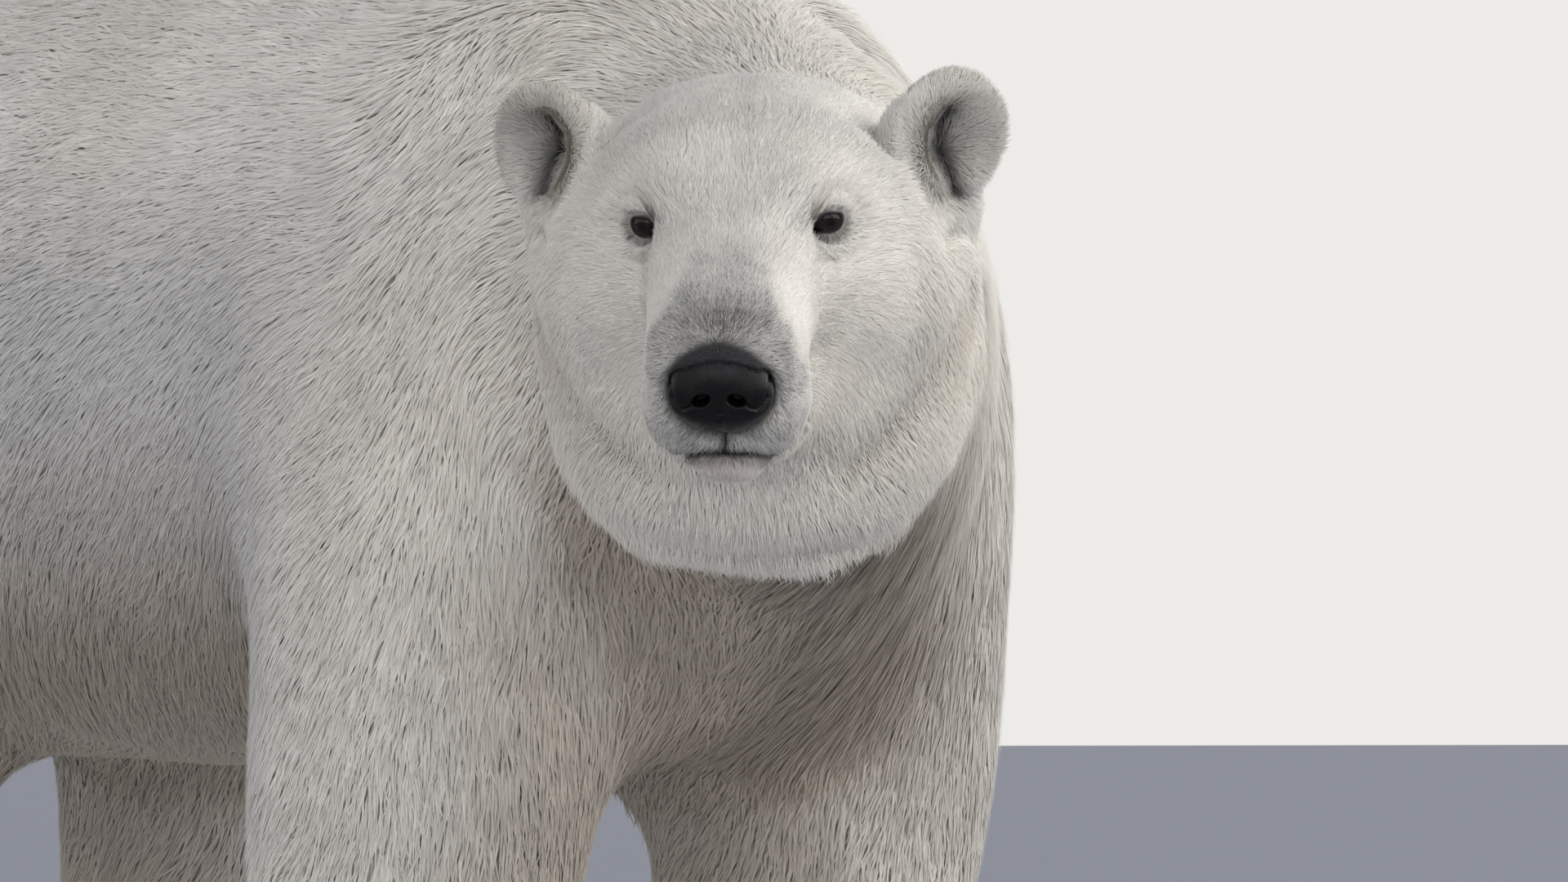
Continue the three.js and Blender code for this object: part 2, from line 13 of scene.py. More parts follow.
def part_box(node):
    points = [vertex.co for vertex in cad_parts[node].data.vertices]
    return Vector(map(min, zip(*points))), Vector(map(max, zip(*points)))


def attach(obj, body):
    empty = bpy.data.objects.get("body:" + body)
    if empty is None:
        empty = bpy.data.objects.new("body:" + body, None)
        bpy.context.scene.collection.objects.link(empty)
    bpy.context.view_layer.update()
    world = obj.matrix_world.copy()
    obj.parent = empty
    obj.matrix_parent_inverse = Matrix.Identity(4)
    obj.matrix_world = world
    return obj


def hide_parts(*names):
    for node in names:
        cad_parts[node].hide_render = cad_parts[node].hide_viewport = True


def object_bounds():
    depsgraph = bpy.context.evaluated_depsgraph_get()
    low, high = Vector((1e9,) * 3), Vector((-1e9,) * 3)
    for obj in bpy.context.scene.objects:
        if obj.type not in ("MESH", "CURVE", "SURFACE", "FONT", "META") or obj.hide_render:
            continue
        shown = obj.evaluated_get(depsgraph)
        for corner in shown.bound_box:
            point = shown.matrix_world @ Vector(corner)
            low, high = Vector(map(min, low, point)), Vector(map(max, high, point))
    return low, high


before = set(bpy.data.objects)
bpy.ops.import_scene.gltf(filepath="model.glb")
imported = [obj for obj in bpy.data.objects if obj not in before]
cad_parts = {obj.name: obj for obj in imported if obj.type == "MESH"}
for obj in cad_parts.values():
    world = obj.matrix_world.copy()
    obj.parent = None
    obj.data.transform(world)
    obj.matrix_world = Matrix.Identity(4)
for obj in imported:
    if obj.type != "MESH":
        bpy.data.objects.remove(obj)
cad_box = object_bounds()
rng = np.random.default_rng(11)

MM = 0.001
SIDES = {"right": -1, "left": 1}
LEGS = [f"{pair}leg_{side}" for pair in ("fore", "hind") for side in SIDES]
PAWS = [f"{pair}paw_{side}" for pair in ("fore", "hind") for side in SIDES]
EARS = [f"ear_{side}" for side in SIDES]
FLESH = ["head", "jaw", "neck", "trunk", "tail", *EARS, *LEGS, *PAWS]
CLAWS = sorted(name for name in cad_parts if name.startswith("claw"))


# ---- Small helpers on arrays ----


def unit(v):
    return v / np.maximum(np.linalg.norm(v, axis=-1, keepdims=True), 1e-9)


def step(x, low, high):
    """0 below low, 1 above high, smooth between them."""
    t = np.clip((np.asarray(x, float) - low) / (high - low), 0, 1)
    return t * t * (3 - 2 * t)


def hump(x, width):
    """1 at 0, falling off over the width."""
    return np.exp(-((x / width) ** 2))


def spot(q, centre, sizes):
    """1 at the centre, falling off over the sizes."""
    return np.exp(-(((q - np.array(centre)) / np.array(sizes)) ** 2).sum(-1))


def from_path(x, z, path):
    """Distance in the plane from a run of straight pieces."""
    nearest = np.full(len(x), 1e3)
    for (ax, az), (bx, bz) in zip(path, path[1:]):
        along = (x - ax) * (bx - ax) + (z - az) * (bz - az)
        t = np.clip(along / ((bx - ax) ** 2 + (bz - az) ** 2), 0, 1)
        nearest = np.minimum(nearest, np.hypot(x - ax - t * (bx - ax), z - az - t * (bz - az)))
    return nearest


def lattice(cell, seed):
    """A fixed value from 0 to 1 for each cell."""
    x, y, z = (cell[..., i].astype(np.int64) for i in range(3))
    h = (x * 73856093) ^ (y * 19349663) ^ (z * 83492791) ^ (seed * 2654435761)
    h = (h ^ (h >> 13)) * 1274126177
    return ((h ^ (h >> 16)) & 0xFFFF) / 65535.0


def between_corners(cell, f, value):
    """Blends value(corner) over the eight corners of each cell, f of the way across it."""
    total = 0
    for corner in np.ndindex(2, 2, 2):
        weight = np.prod(np.where(np.array(corner), f, 1 - f), axis=-1)
        total = total + weight * value(cell + np.array(corner))
    return total


def noise(p, size, seed):
    """Smooth noise from -1 to 1 with features of the given size."""
    at = p / size + 100
    cell = np.floor(at).astype(np.int64)
    return between_corners(cell, step(at - cell, 0, 1), lambda corner: lattice(corner, seed)) * 2 - 1


# ---- The head's own frame: left, ahead and up in millimetres from between the eyes ----

HEAD_TURN = math.radians(-34.5)
HEAD_NOD = math.radians(17.5)


def middle(node):
    low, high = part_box(node)
    return np.array((low + high) / 2)


def head_axes():
    """Left, ahead and up of the turned and nodded head, as rows."""
    ct, st = math.cos(HEAD_TURN), math.sin(HEAD_TURN)
    cn, sn = math.cos(HEAD_NOD), math.sin(HEAD_NOD)
    left = np.array([ct, st, 0])
    ahead = -np.array([-st * cn, ct * cn, sn])
    up = np.array([st * sn, -ct * sn, cn])
    return np.array([left, ahead, up])


HEAD = head_axes()
EYES = {side: middle(f"eye_{side}") for side in SIDES}
EYE_AHEAD = 2.0
ORIGIN = (EYES["left"] + EYES["right"]) / 2 - HEAD[1] * EYE_AHEAD * MM


def to_head(p):
    return (p - ORIGIN) @ HEAD.T / MM


def from_head(q):
    return ORIGIN + (np.asarray(q, float) * MM) @ HEAD


EYE_AIM = math.radians(24)  # how far each eye looks outwards
EYE_SHIFT = {"left": (3.9, 4.2, -5.0), "right": (1.6, 1.5, -5.0)}  # out, up and back, in its own frame
EYE_RADIUS = (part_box("eye_left")[1].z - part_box("eye_left")[0].z) / 2 / MM
EYE_REACH = 34.0  # how far round an eye its lids and their hair reach
NOSE_MIDDLE = np.array([0.0, 159.0, -76.5])
NOSE_HALVES = np.array([38.5, 26.0, 33.0])
NOSE_SQUARE = 2.5
CROWN = (38.0, 35.0, -77.0)  # the dark skin round the pad: half across, half high, and its middle's height


def pad_taper(z):
    """How the pad narrows towards its top and its foot."""
    return (1 - 0.16 * step(z, 2, 30)) * (1 - 0.10 * step(-z, 10, 28))


def pad_lean(z):
    """How far the pad's face falls back at its top and its foot."""
    return 1.0 * step(z, 4, 30) + 3.0 * step(-z, 14, 30)


def pad_field(q):
    """1 on the pad's surface, less inside it."""
    x, y, z = (q - NOSE_MIDDLE).T
    y = y + pad_lean(z) * step(y, -4, 12)
    away = np.abs(np.stack([x / pad_taper(z), y, z], 1)) / NOSE_HALVES
    return (away**NOSE_SQUARE).sum(1)


def crown_share(q):
    """1 on the dark, thinly haired skin round the pad."""
    ring = np.hypot(q[:, 0] / CROWN[0], (q[:, 2] - CROWN[2]) / CROWN[1])
    return step(1 - ring, -0.10, 0.06) * step(q[:, 1], 126, 144)


# ---- How deep the coat stands over the skin, in metres ----

BODY_COAT = 0.0095
LEG_COAT = 0.0085
PAW_COAT = 0.006
TAIL_COAT = 0.009
THROAT_COAT = 0.010
EAR_COAT = 0.005
MUZZLE_COAT = 0.0026
# the face's coat grows by so much between two distances behind the eyes, in millimetres
FACE_GROWTH = [(0.0014, -128, -84), (0.0014, -84, -20), (0.0015, -20, 70)]
RUFF_GROWTH = 0.0015

EAR_BOWL = (156.0, 28.0)  # out and up, the middle of an ear's hollow
EAR_OPENING = [(147, 46), (139, 33), (139, 20), (147, 3), (151, -8)]
EAR_ROOT = (150.0, -134.0, -24.0)  # out, ahead and up, the middle of the fill below an ear
EAR_SKIRT = (22.0, 18.0, 38.0)  # that fill's radii


def ear_share(q):
    """1 on the ears."""
    out = step(np.abs(q[:, 0]), 108, 122)
    return out * step(q[:, 2], -40, -22) * step(q[:, 1], -200, -180) * step(-q[:, 1], 70, 84)


# out and up: the cheek's shaggy lower edge, and the furrow between it and the ruff
CHEEK_EDGE = [(150, -48), (136, -80), (113, -120), (89, -144), (65, -164)]
FURROW = [(166, -70), (150, -112), (124, -148), (99, -169), (70, -186)]


def ear_hollow(q, width):
    """1 along an ear's opening, falling off over the width."""
    out = np.abs(q[:, 0])
    near = (out > 104) * step(q[:, 1], -170, -150) * step(q[:, 2], -26, -12)
    return hump(from_path(out, q[:, 2], EAR_OPENING), width) * near


def jowl_share(q):
    """1 over the side of the jaw, where the cheek's edge and its furrow run."""
    left, ahead, up = q.T
    return step(-up, 30, 76) * step(np.abs(left), 46, 78) * step(ahead, -150, -118) * step(-ahead, -5, 22)


def head_share(q):
    """1 on the head, 0 behind its ruff."""
    return step(q[:, 1] + 0.5 * q[:, 2], -275, -215) * step(q[:, 2], -420, -330)


def coat_depth(p):
    q = to_head(p)
    ahead, up = q.T[1:]
    height = p[:, 2]
    depth = LEG_COAT + (BODY_COAT - LEG_COAT) * step(height, 0.45, 0.75)
    depth = PAW_COAT + (depth - PAW_COAT) * step(height, 0.09, 0.32)
    tail_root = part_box("tail")[0].y
    tail = step(p[:, 1], tail_root, tail_root + 0.05)
    depth = depth + (TAIL_COAT - depth) * tail * step(height, 0.7, 0.8)
    face = MUZZLE_COAT
    for growth, low, high in FACE_GROWTH:
        face = face + growth * step(-ahead, low, high)
    face = face + RUFF_GROWTH * step(-ahead, 60, 170) * step(-up, -40, 40)
    throat = step(-up, 128, 190) * step(-ahead, -75, 10)
    face = face + (THROAT_COAT - face) * throat
    face = face + (EAR_COAT - face) * ear_share(q)
    return depth + (face - depth) * head_share(q)


# ---- Level sets: the flesh as one closed form, then the skin inside it ----

CLOSE = 0.0011  # closes the thin cuts between the nodes
REACH = 0.042  # how far from the flesh's surface the distances are kept
SMOOTH_ROUNDS = 30
HEAD_VOXEL = 0.0028
BODY_VOXEL = 0.010
THROAT = ((8.0, -68.0, -230.0), (112.0, 44.0, 36.0))  # middle and radii of the fill under the jaw's ruff


def faces_of(node):
    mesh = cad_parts[node].data
    mesh.calc_loop_triangles()
    points = np.empty(len(mesh.vertices) * 3, np.float32)
    mesh.vertices.foreach_get("co", points)
    triangles = np.empty(len(mesh.loop_triangles) * 3, np.int32)
    mesh.loop_triangles.foreach_get("vertices", triangles)
    return points.reshape(-1, 3), triangles.reshape(-1, 3)


def weld(points, triangles):
    """The imported mesh has split corners: one vertex for each place."""
    keys = np.round(points / 1e-6).astype(np.int64)
    _, first, back = np.unique(keys, axis=0, return_index=True, return_inverse=True)
    return points[first], back.reshape(-1)[triangles].astype(np.uint32)


def blob(centre, radii, turn=0.0):
    """A ball stretched to radii, at a centre in the head's frame, to join to the flesh."""
    ball = bmesh.new()
    bmesh.ops.create_icosphere(ball, subdivisions=3, radius=1.0)
    q = np.array([v.co for v in ball.verts]) * np.array(radii)
    triangles = np.array([[v.index for v in f.verts] for f in ball.faces], np.uint32)
    ball.free()
    c, s = math.cos(turn), math.sin(turn)
    q = np.stack([q[:, 0] * c + q[:, 1] * s, -q[:, 0] * s + q[:, 1] * c, q[:, 2]], 1)
    return from_head(q + centre).astype(np.float32), triangles


def eye_plug(side):
    """Fills an eye's opening level with the face round it."""
    return blob(to_head(EYES[side]), (21, 9.5, 19), SIDES[side] * EYE_AIM)


def ear_skirt(side):
    """Carries an ear's lower edge down into the cheek."""
    out, ahead, up = EAR_ROOT
    return blob((SIDES[side] * out, ahead, up), EAR_SKIRT)


class Grid:
    """A box of voxels, with distances to a closed form, below zero inside."""

    def __init__(self, low, high, voxel):
        self.voxel = voxel
        self.start = np.floor(np.array(low) / voxel).astype(int)
        self.shape = np.ceil((np.array(high) - np.array(low)) / voxel).astype(int) + 1
        self.transform = vdb.createLinearTransform(voxelSize=voxel)

    def distances(self, points, band=4.0, **facets):
        level = vdb.FloatGrid.createLevelSetFromPolygons(
            points, transform=self.transform, halfWidth=band, **facets
        )
        block = np.empty(self.shape, np.float32)
        level.copyToArray(block, ijk=tuple(self.start))
        return block

    def surface(self, values, at=0.0):
        grid = vdb.FloatGrid(float(values.max()))
        grid.copyFromArray(values, ijk=tuple(self.start))
        grid.transform = self.transform
        return grid.convertToQuads(isovalue=at)

    def places(self):
        axes = [(self.start[i] + np.arange(self.shape[i])) * self.voxel for i in range(3)]
        return np.stack(np.meshgrid(*axes, indexing="ij"), -1)

    def read(self, values, p):
        at = np.clip(p / self.voxel - self.start, 0, np.array(self.shape) - 1.001)
        cell = at.astype(int)
        return between_corners(cell, at - cell, lambda corner: values[tuple(corner.T)])


def smoothed(points, quads, share):
    """Laplacian rounds; share is how far each point goes to its neighbours' mean."""
    edges = np.concatenate([quads[:, [i, (i + 1) % 4]] for i in range(4)])
    edges = np.unique(np.sort(edges, axis=1), axis=0)
    p = points.astype(float)
    degree = np.maximum(np.bincount(edges.ravel(), minlength=len(p)), 1)
    a, b = edges.T
    for _ in range(SMOOTH_ROUNDS):
        mean = np.empty_like(p)
        for axis in range(3):
            x = p[:, axis]
            total = np.bincount(a, x[b], minlength=len(p)) + np.bincount(b, x[a], minlength=len(p))
            mean[:, axis] = total / degree
        p += (mean - p) * share[:, None]
    return p


def crossed(points, quads):
    """Each quad's normal, as long as twice its area."""
    a, b, c, d = points[quads.T]
    return np.cross(c - a, d - b)


def normals_of(points, quads):
    across = crossed(points, quads)
    total = np.zeros_like(points)
    for axis in range(3):
        for corner in range(4):
            total[:, axis] += np.bincount(quads[:, corner], across[:, axis], minlength=len(points))
    return unit(total)


def closed_flesh(grid, nodes, fills):
    """Distances to the nodes as one form, their thin gaps closed."""
    together = None
    for points, triangles in [weld(*faces_of(node)) for node in nodes] + fills:
        block = grid.distances(points, triangles=triangles)
        together = block if together is None else np.minimum(together, block)
    points, quads = grid.surface(together, CLOSE)
    return grid.distances(points, quads=quads, band=REACH / grid.voxel + 3) + CLOSE


def skin_shell(grid, nodes, fills, share_of):
    """The surface that lies inside the flesh by the coat's depth, its quads facing outwards."""
    flesh = closed_flesh(grid, nodes, fills)
    near = np.abs(flesh) < REACH
    depth = np.zeros(flesh.shape)
    depth[near] = coat_depth(grid.places()[near])
    points, quads = grid.surface(np.where(near, flesh + depth, flesh).astype(np.float32))
    quads = quads.astype(np.int64)
    points = smoothed(points, quads, share_of(points.astype(float)))
    normals = normals_of(points, quads)
    outward = grid.read(flesh, points + normals * grid.voxel) > grid.read(flesh, points)
    return points, (quads if outward.mean() > 0.5 else quads[:, ::-1])


def only(points, quads, keep):
    """The quads whose corners are all kept."""
    quads = quads[keep[quads].all(1)]
    used = np.unique(quads)
    back = np.full(len(points), -1)
    back[used] = np.arange(len(used))
    return points[used], back[quads]


# ---- The head's shell, fine, and the body's, coarser; they lap inside the neck's coat ----

HEAD_CUT = -245.0  # ahead plus half of up, in the head's frame


def along_head(p):
    q = to_head(p)
    return q[:, 1] + 0.5 * q[:, 2]


def head_grid():
    corners = [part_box(node) for node in ("head", "jaw", "nose", *EARS)]
    low = np.min([np.array(c[0]) for c in corners], axis=0) - 0.04
    high = np.max([np.array(c[1]) for c in corners], axis=0) + 0.06
    return Grid(low, high, HEAD_VOXEL)


def body_grid():
    low, high = (np.array(corner) for corner in cad_box)
    return Grid(low - 0.06, high + 0.06, BODY_VOXEL)


def head_smooth(p):
    """How far a point goes in one round: less on the ears and the muzzle."""
    q = to_head(p)
    return 0.5 - 0.32 * ear_share(q) - 0.2 * step(q[:, 1], 60, 120)


def body_smooth(p):
    """Less on the paws."""
    return 0.08 + 0.42 * step(p[:, 2], 0.12, 0.3)


fills = [make(side) for make in (eye_plug, ear_skirt) for side in SIDES] + [blob(*THROAT)]
head_nodes = ["head", "jaw", "nose", "neck", *EARS]
head_points, head_quads = skin_shell(head_grid(), head_nodes, fills, head_smooth)
body_points, body_quads = skin_shell(body_grid(), FLESH, [], body_smooth)


# ---- The head's forms: brow, hollows, mouth and the groove under the nose, in millimetres ----

MOUTH_FRONT = -129.5
PAD_SINK = 18.0  # how far the skin behind the pad is drawn back
# on both sides: millimetres outwards along the normal, the middle (out, ahead, up) and the sizes
FORMS = {
    "brow": (3.0, (46, 14, 27), (20, 30, 10)),
    "eye's inner hollow": (-3.0, (36, 36, -2), (12, 26, 16)),
    "hollow below the eye": (-1.6, (66, 34, -24), (16, 30, 8)),
    "cheekbone": (1.8, (70, 0, -42), (18, 40, 14)),
    "muzzle's root": (-2.0, (62, 66, -64), (20, 34, 30)),
    "upper lip": (5.0, (44, 118, -110), (24, 34, 20)),
    "muzzle's corner": (6.0, (44, 120, -121), (16, 40, 11)),
}


def mouth_height(ahead):
    """The line of the closed lips: it sags under the upper lip and rises to its corner."""
    return MOUTH_FRONT - 11.0 * step(-ahead, -146, -108) + 10.0 * step(-ahead, -92, -46)


def mouth_corner(left):
    """How far ahead the mouth's corner lies; the right one is drawn further back."""
    return np.where(left < 0, 34.0, 44.0)


def nose_groove(left, up, width):
    """1 along the groove from the nose to the mouth, falling off over the width."""
    return hump(left, width) * step(-up, 92, 100) * step(up, -133, -127)


def carve_head(points, normals):
    q = to_head(points)
    left, ahead, up = q.T
    out = np.abs(left)
    mirrored = np.stack([out, ahead, up], 1)
    over_mouth = up - mouth_height(ahead)
    push = np.zeros(len(q))
    for size, centre, sizes in FORMS.values():
        push += size * spot(mirrored, centre, sizes)
    push -= 1.2 * hump(left, 9) * step(up, 6, 24) * step(-up, -76, -50)  # the furrow of the forehead
    jaw = step(-over_mouth, 3, 9) * step(ahead, 56, 84) * step(up, -176, -160)
    push -= jaw * (2.0 + 5.0 * step(out, 18, 42))
    jowl = jowl_share(q)
    push -= 7.0 * hump(from_path(out, up, FURROW), 20) * jowl
    push += 4.0 * hump(from_path(out, up, CHEEK_EDGE), 16) * jowl
    eye_ring = np.hypot((out - 62) / 1.25, up - 2) - 33
    push += 2.2 * hump(eye_ring, 7) * step(up, 8, 24) * step(ahead, -40, -10)
    push -= 9.0 * ear_hollow(q, 7.0) * step(normals @ HEAD[1], -0.1, 0.4)
    push -= 7.0 * hump(over_mouth, 2.9) * step(ahead - mouth_corner(left), -6, 16)
    push += 1.6 * hump(over_mouth - 7, 4) * step(ahead, 60, 90)
    push -= 4.6 * nose_groove(left, up, 3.0) * step(ahead, 112, 132)
    moved = points + normals * push[:, None] * MM
    sink = PAD_SINK * (1 - step(pad_field(q), 0.86, 1.06)) * step(ahead, 134, 148)
    return moved - HEAD[1] * sink[:, None] * MM


head_points = carve_head(head_points, normals_of(head_points, head_quads))


# ---- Lids: rings from inside each eye's opening out onto the face ----

LID_PARTS = 72
LID_ROWS = [0.0, 1.0, 2.2, 3.6, 5.2, 7.0, 9.0, 11.5, 14.0, 16.5]
LID_THICK = 1.0
LID_FLAT = (1.0, 13.0)  # between these the lid passes from the eyeball's round to the face's skin
SHELL_UNDER = (13.5, 16.0)  # between these the head's shell comes up from under the ring


class Eye:
    """An eye's own frame: out to the side, up, and along its aim, in millimetres."""

    def __init__(self, side):
        s = SIDES[side]
        self.side = side
        c, n = math.cos(EYE_AIM), math.sin(EYE_AIM)
        self.axes = np.array([[s * c, -n, 0], [0, 0, 1], [s * n, c, 0]])
        self.centre = to_head(EYES[side]) + np.array(EYE_SHIFT[side]) @ self.axes

    def local(self, q):
        return (q - self.centre) @ self.axes.T

    def world(self, local):
        return from_head(self.centre + np.asarray(local) @ self.axes)

    def margin(self, angle):
        """The lids' edge at an angle from the outer corner."""
        c, s = np.cos(angle), np.sin(angle)
        inner = np.maximum(-c, 0)
        across = 8.2 * c - 5.0 * inner**4
        high = np.where(s > 0, 6.0, 6.6) * s + 1.6 * np.maximum(c, 0) ** 3 - 7.0 * inner**4
        return np.stack([across, high], -1)

    def beyond(self, a, b):
        """How far points lie outside the lids' edge, the edge's radius there and its height's sign."""
        edge = self.margin(np.linspace(-math.pi, math.pi, 361))
        turn = np.arctan2(edge[:, 1], edge[:, 0])
        order = np.argsort(turn)
        here = np.arctan2(b, a)
        reach = np.interp(here, turn[order], np.hypot(*edge.T)[order], period=2 * math.pi)
        return np.hypot(a, b) - reach, reach, np.sin(here)

    def lid_height(self, reach, top, s, skin):
        """Height of the lid's surface s beyond its edge, where the skin stands at a height."""
        ball = np.sqrt(np.maximum((EYE_RADIUS + 0.3) ** 2 - reach**2, 9.0))
        start = np.maximum(ball, 10.0) + LID_THICK * step(s, -0.6, 1.4)
        fall = 0.42 * np.maximum(s, 0)
        share = step(s, *LID_FLAT)
        fold = (1.3 * hump(s - 6.2, 2.0) - 0.8 * hump(s - 3.8, 1.1)) * step(top, 0.1, 0.6)
        return (start - fall) * (1 - share) + skin * share + fold * (1 - share)


def open_shell(eye, points):
    """Draws the shell in under the lids, so that only their rings show there."""
    local = eye.local(to_head(points))
    a, b, h = local.T
    near = (np.hypot(a, b) < EYE_REACH) & (h > -12) & (h < EYE_REACH)
    s, reach, top = eye.beyond(a[near], b[near])
    lid = eye.lid_height(reach, top, s, h[near])
    low = np.where(s > 0, lid - 1.4 * (1 - step(s, 9, 15.5)), np.minimum(lid - 3, 5))
    share = 1 - step(s, *SHELL_UNDER)
    local[near, 2] = h[near] * (1 - share) + np.where(s > 0, low, np.minimum(low, h[near])) * share
    moved = points.copy()
    moved[near] = eye.world(local[near])
    return moved


def lid_ring(eye, tree):
    """Rows from inside the opening over the lid's edge, then out until they dip under the skin."""
    angles = np.linspace(0, 2 * math.pi, LID_PARTS, endpoint=False)
    edge = eye.margin(angles)
    reach = np.hypot(*edge.T)
    outward = edge / reach[:, None]
    top = np.sin(np.arctan2(edge[:, 1], edge[:, 0]))
    inner, outer = (np.sqrt(np.maximum(EYE_RADIUS**2 - (x * reach) ** 2, 9.0)) for x in (0.8, 0.95))
    rows = [
        np.column_stack([edge * 0.8, inner - 2.0]),
        np.column_stack([edge * 0.95, np.maximum(outer + 0.15, 6.4)]),
    ]
    aim = eye.axes[2] @ HEAD
    for s in LID_ROWS:
        flat = edge + outward * s
        skin = np.empty(len(flat))
        for i, (a, b) in enumerate(flat):
            hit = tree.ray_cast(Vector(eye.world([a, b, 60.0])), Vector(-aim))[0]
            skin[i] = eye.local(to_head(np.array([hit])))[0, 2] if hit else 6.0
        height = eye.lid_height(reach, top, s, skin)
        if s == LID_ROWS[-1]:
            height = skin - 1.2
        rows.append(np.column_stack([flat, height]))
    here = np.arange(LID_PARTS)
    beside = (here + 1) % LID_PARTS
    start = np.arange(len(rows) - 1)[:, None] * LID_PARTS
    quads = np.stack([start + here, start + LID_PARTS + here, start + LID_PARTS + beside, start + beside], -1)
    quads = quads.reshape(-1, 4)
    return eye.world(np.concatenate(rows)), (quads[:, ::-1] if eye.side == "right" else quads)


eyes = [Eye(side) for side in SIDES]
head_tree = BVHTree.FromPolygons(head_points.tolist(), head_quads.tolist())
lids = [lid_ring(eye, head_tree) for eye in eyes]
for eye in eyes:
    head_points = open_shell(eye, head_points)

head_points, head_quads = only(head_points, head_quads, along_head(head_points) > HEAD_CUT - 8)
body_points, body_quads = only(body_points, body_quads, along_head(body_points) < HEAD_CUT + 8)


def joined(parts):
    points, quads, start = [], [], 0
    for some_points, some_quads in parts:
        points.append(some_points)
        quads.append(some_quads + start)
        start += len(some_points)
    return np.concatenate(points), np.concatenate(quads)


skin_points, skin_quads = joined([(head_points, head_quads), (body_points, body_quads), *lids])
skin_normals = normals_of(skin_points, skin_quads)


# ---- Markings and painted shade: the same for skin and coat, in linear colour ----

WHITE = np.array([0.88, 0.855, 0.80])
CREAM = np.array([0.82, 0.765, 0.67])
# a warm brown: partly stain, partly painted shade under the body and in the cheek's furrow
STAINED_AND_SHADED = np.array([0.36, 0.29, 0.215])
GREY = np.array([0.122, 0.120, 0.125])
DARK = np.array([0.012, 0.011, 0.012])
# the chin's pink, darkened by painted shade under the lip
PINK_AND_SHADE = np.array([0.30, 0.235, 0.225])
TAUPE = np.array([0.31, 0.295, 0.27])
SOOTY = np.array([0.115, 0.10, 0.09])
# the flanks' grey: partly the coat's own, partly painted shade
SIDE_GREY_AND_SHADE = np.array([0.62, 0.605, 0.59])

# grey patches: strength, middle, sizes, and the share of them that is even, not patchy
SADDLE = ((0, 156, -33), (32, 26, 17), 0.45)  # above the nose
NOSE_SIDES = [(0.62, (48, 138, -80), (16, 30, 34), 0.25), (0.45, (-46, 138, -84), (14, 26, 26), 0.25)]
EYE_PATCHES = [  # inner corner, below and outer corner, on both sides
    (0.62, (49, 24, 9), (10, 26, 12), 0.6),
    (0.35, (63, 20, -15), (16, 20, 6), 1.0),
    (0.25, (84, 6, 4), (8, 20, 10), 1.0),
]


def painted(tint, *layers):
    """The tint with each layer's colour laid over it by its share."""
    for colour, share in layers:
        tint = tint + (colour - tint) * share[:, None]
    return tint


def shares(p, n):
    """Where the head is grey, dark or bare: dark skin under thin hair, lips, rims and ears; also the pink
    chin darkened by painted shade, and the painted shade in the cheek's furrow.
    """
    q = to_head(p)
    left, ahead, up = q.T
    out = np.abs(left)
    mirrored = np.stack([out, ahead, up], 1)
    over_mouth = up - mouth_height(ahead)
    patchy = 0.5 + 0.5 * noise(p, 0.011, 3)
    fine_patchy = 0.5 + 0.5 * noise(p, 0.005, 5)

    def patch(where, centre, sizes, even):
        return spot(where, centre, sizes) * (even + (1 - even) * fine_patchy)

    wide = 27 + 12 * step(ahead, 105, 150)
    bridge = step(wide - out, -9, 9) * step(ahead, 66, 112) * step(up, -66, -48)
    to_pad = 0.42 * step(ahead, 118, 158) * (0.3 + 0.7 * fine_patchy)
    round_nose = step(-np.abs((q - NOSE_MIDDLE) / (NOSE_HALVES + 9)).max(1), -1.25, -0.85)
    lip = step(ahead, 96, 134) * step(-up, 88, 104) * step(up, -139, -129)
    saddle = patch(q, *SADDLE)
    greys = [
        bridge * (0.16 + 0.40 * patchy**1.5 + to_pad),
        0.80 * round_nose * step(ahead, 128, 150) * (0.5 + 0.5 * patchy),
        1.2 * crown_share(q),
        0.95 * saddle,
        (0.68 - 0.26 * step(left, 6, 30)) * lip * (0.6 + 0.4 * patchy),
        *(strength * patch(q, *form) for strength, *form in NOSE_SIDES),
        *(strength * patch(mirrored, *form) for strength, *form in EYE_PATCHES),
    ]

    front = step(ahead, 100, 124)
    mouth = hump(over_mouth + 1, 5.4) * step(ahead - mouth_corner(left), 0, 14)
    groove = front * nose_groove(left, up, 3.2)
    upper_lip = 0.8 * front * hump(over_mouth - 4, 4.5) * hump(left, 30)
    dark = np.maximum(np.maximum(mouth, groove), upper_lip) * (1 - step(-over_mouth, 3.5, 6.5))
    rim = np.zeros(len(q))
    for eye in eyes:
        a, b, h = eye.local(q).T
        near = (np.hypot(a, b) < 30) & (np.abs(h) < 30)
        s = eye.beyond(a, b)[0] - 1.2 * step(a, 4, 12)
        rim = np.maximum(rim, near * (1 - step(s, 1.6, 3.6)))
        greys.append(near * (0.25 + 0.5 * step(-a, -3, 9)) * (1 - step(s, 3.0, 8.0)))

    face = step(ahead, -60, -20) * step(up, -175, -150)
    # the chin: pink, darkened as painted shade under the lip
    chin = step(ahead, 84, 112) * step(-up, 124, 132) * hump(left, 26) * step(up, -156, -146)
    faces_ahead = step(n @ HEAD[1], -0.1, 0.45)
    bowl = hump(np.hypot(out - EAR_BOWL[0], 0.9 * (up - EAR_BOWL[1])), 27)
    return {
        "grey": np.maximum.reduce(greys) * face,
        "dark": np.clip(np.maximum(dark, rim) * face, 0, 1),
        "rim": rim,
        "chin": chin * face,
        "ear": ear_share(q) * faces_ahead * bowl * step(up, -22, 10),
        "opening": ear_hollow(q, 7.5) * faces_ahead,
        # the furrow below the cheek's edge: painted shade, with a little yellow in the crease
        "furrow": hump(from_path(out, up, FURROW), 13) * jowl_share(q),
        "crown": crown_share(q),
        "saddle": saddle,
    }


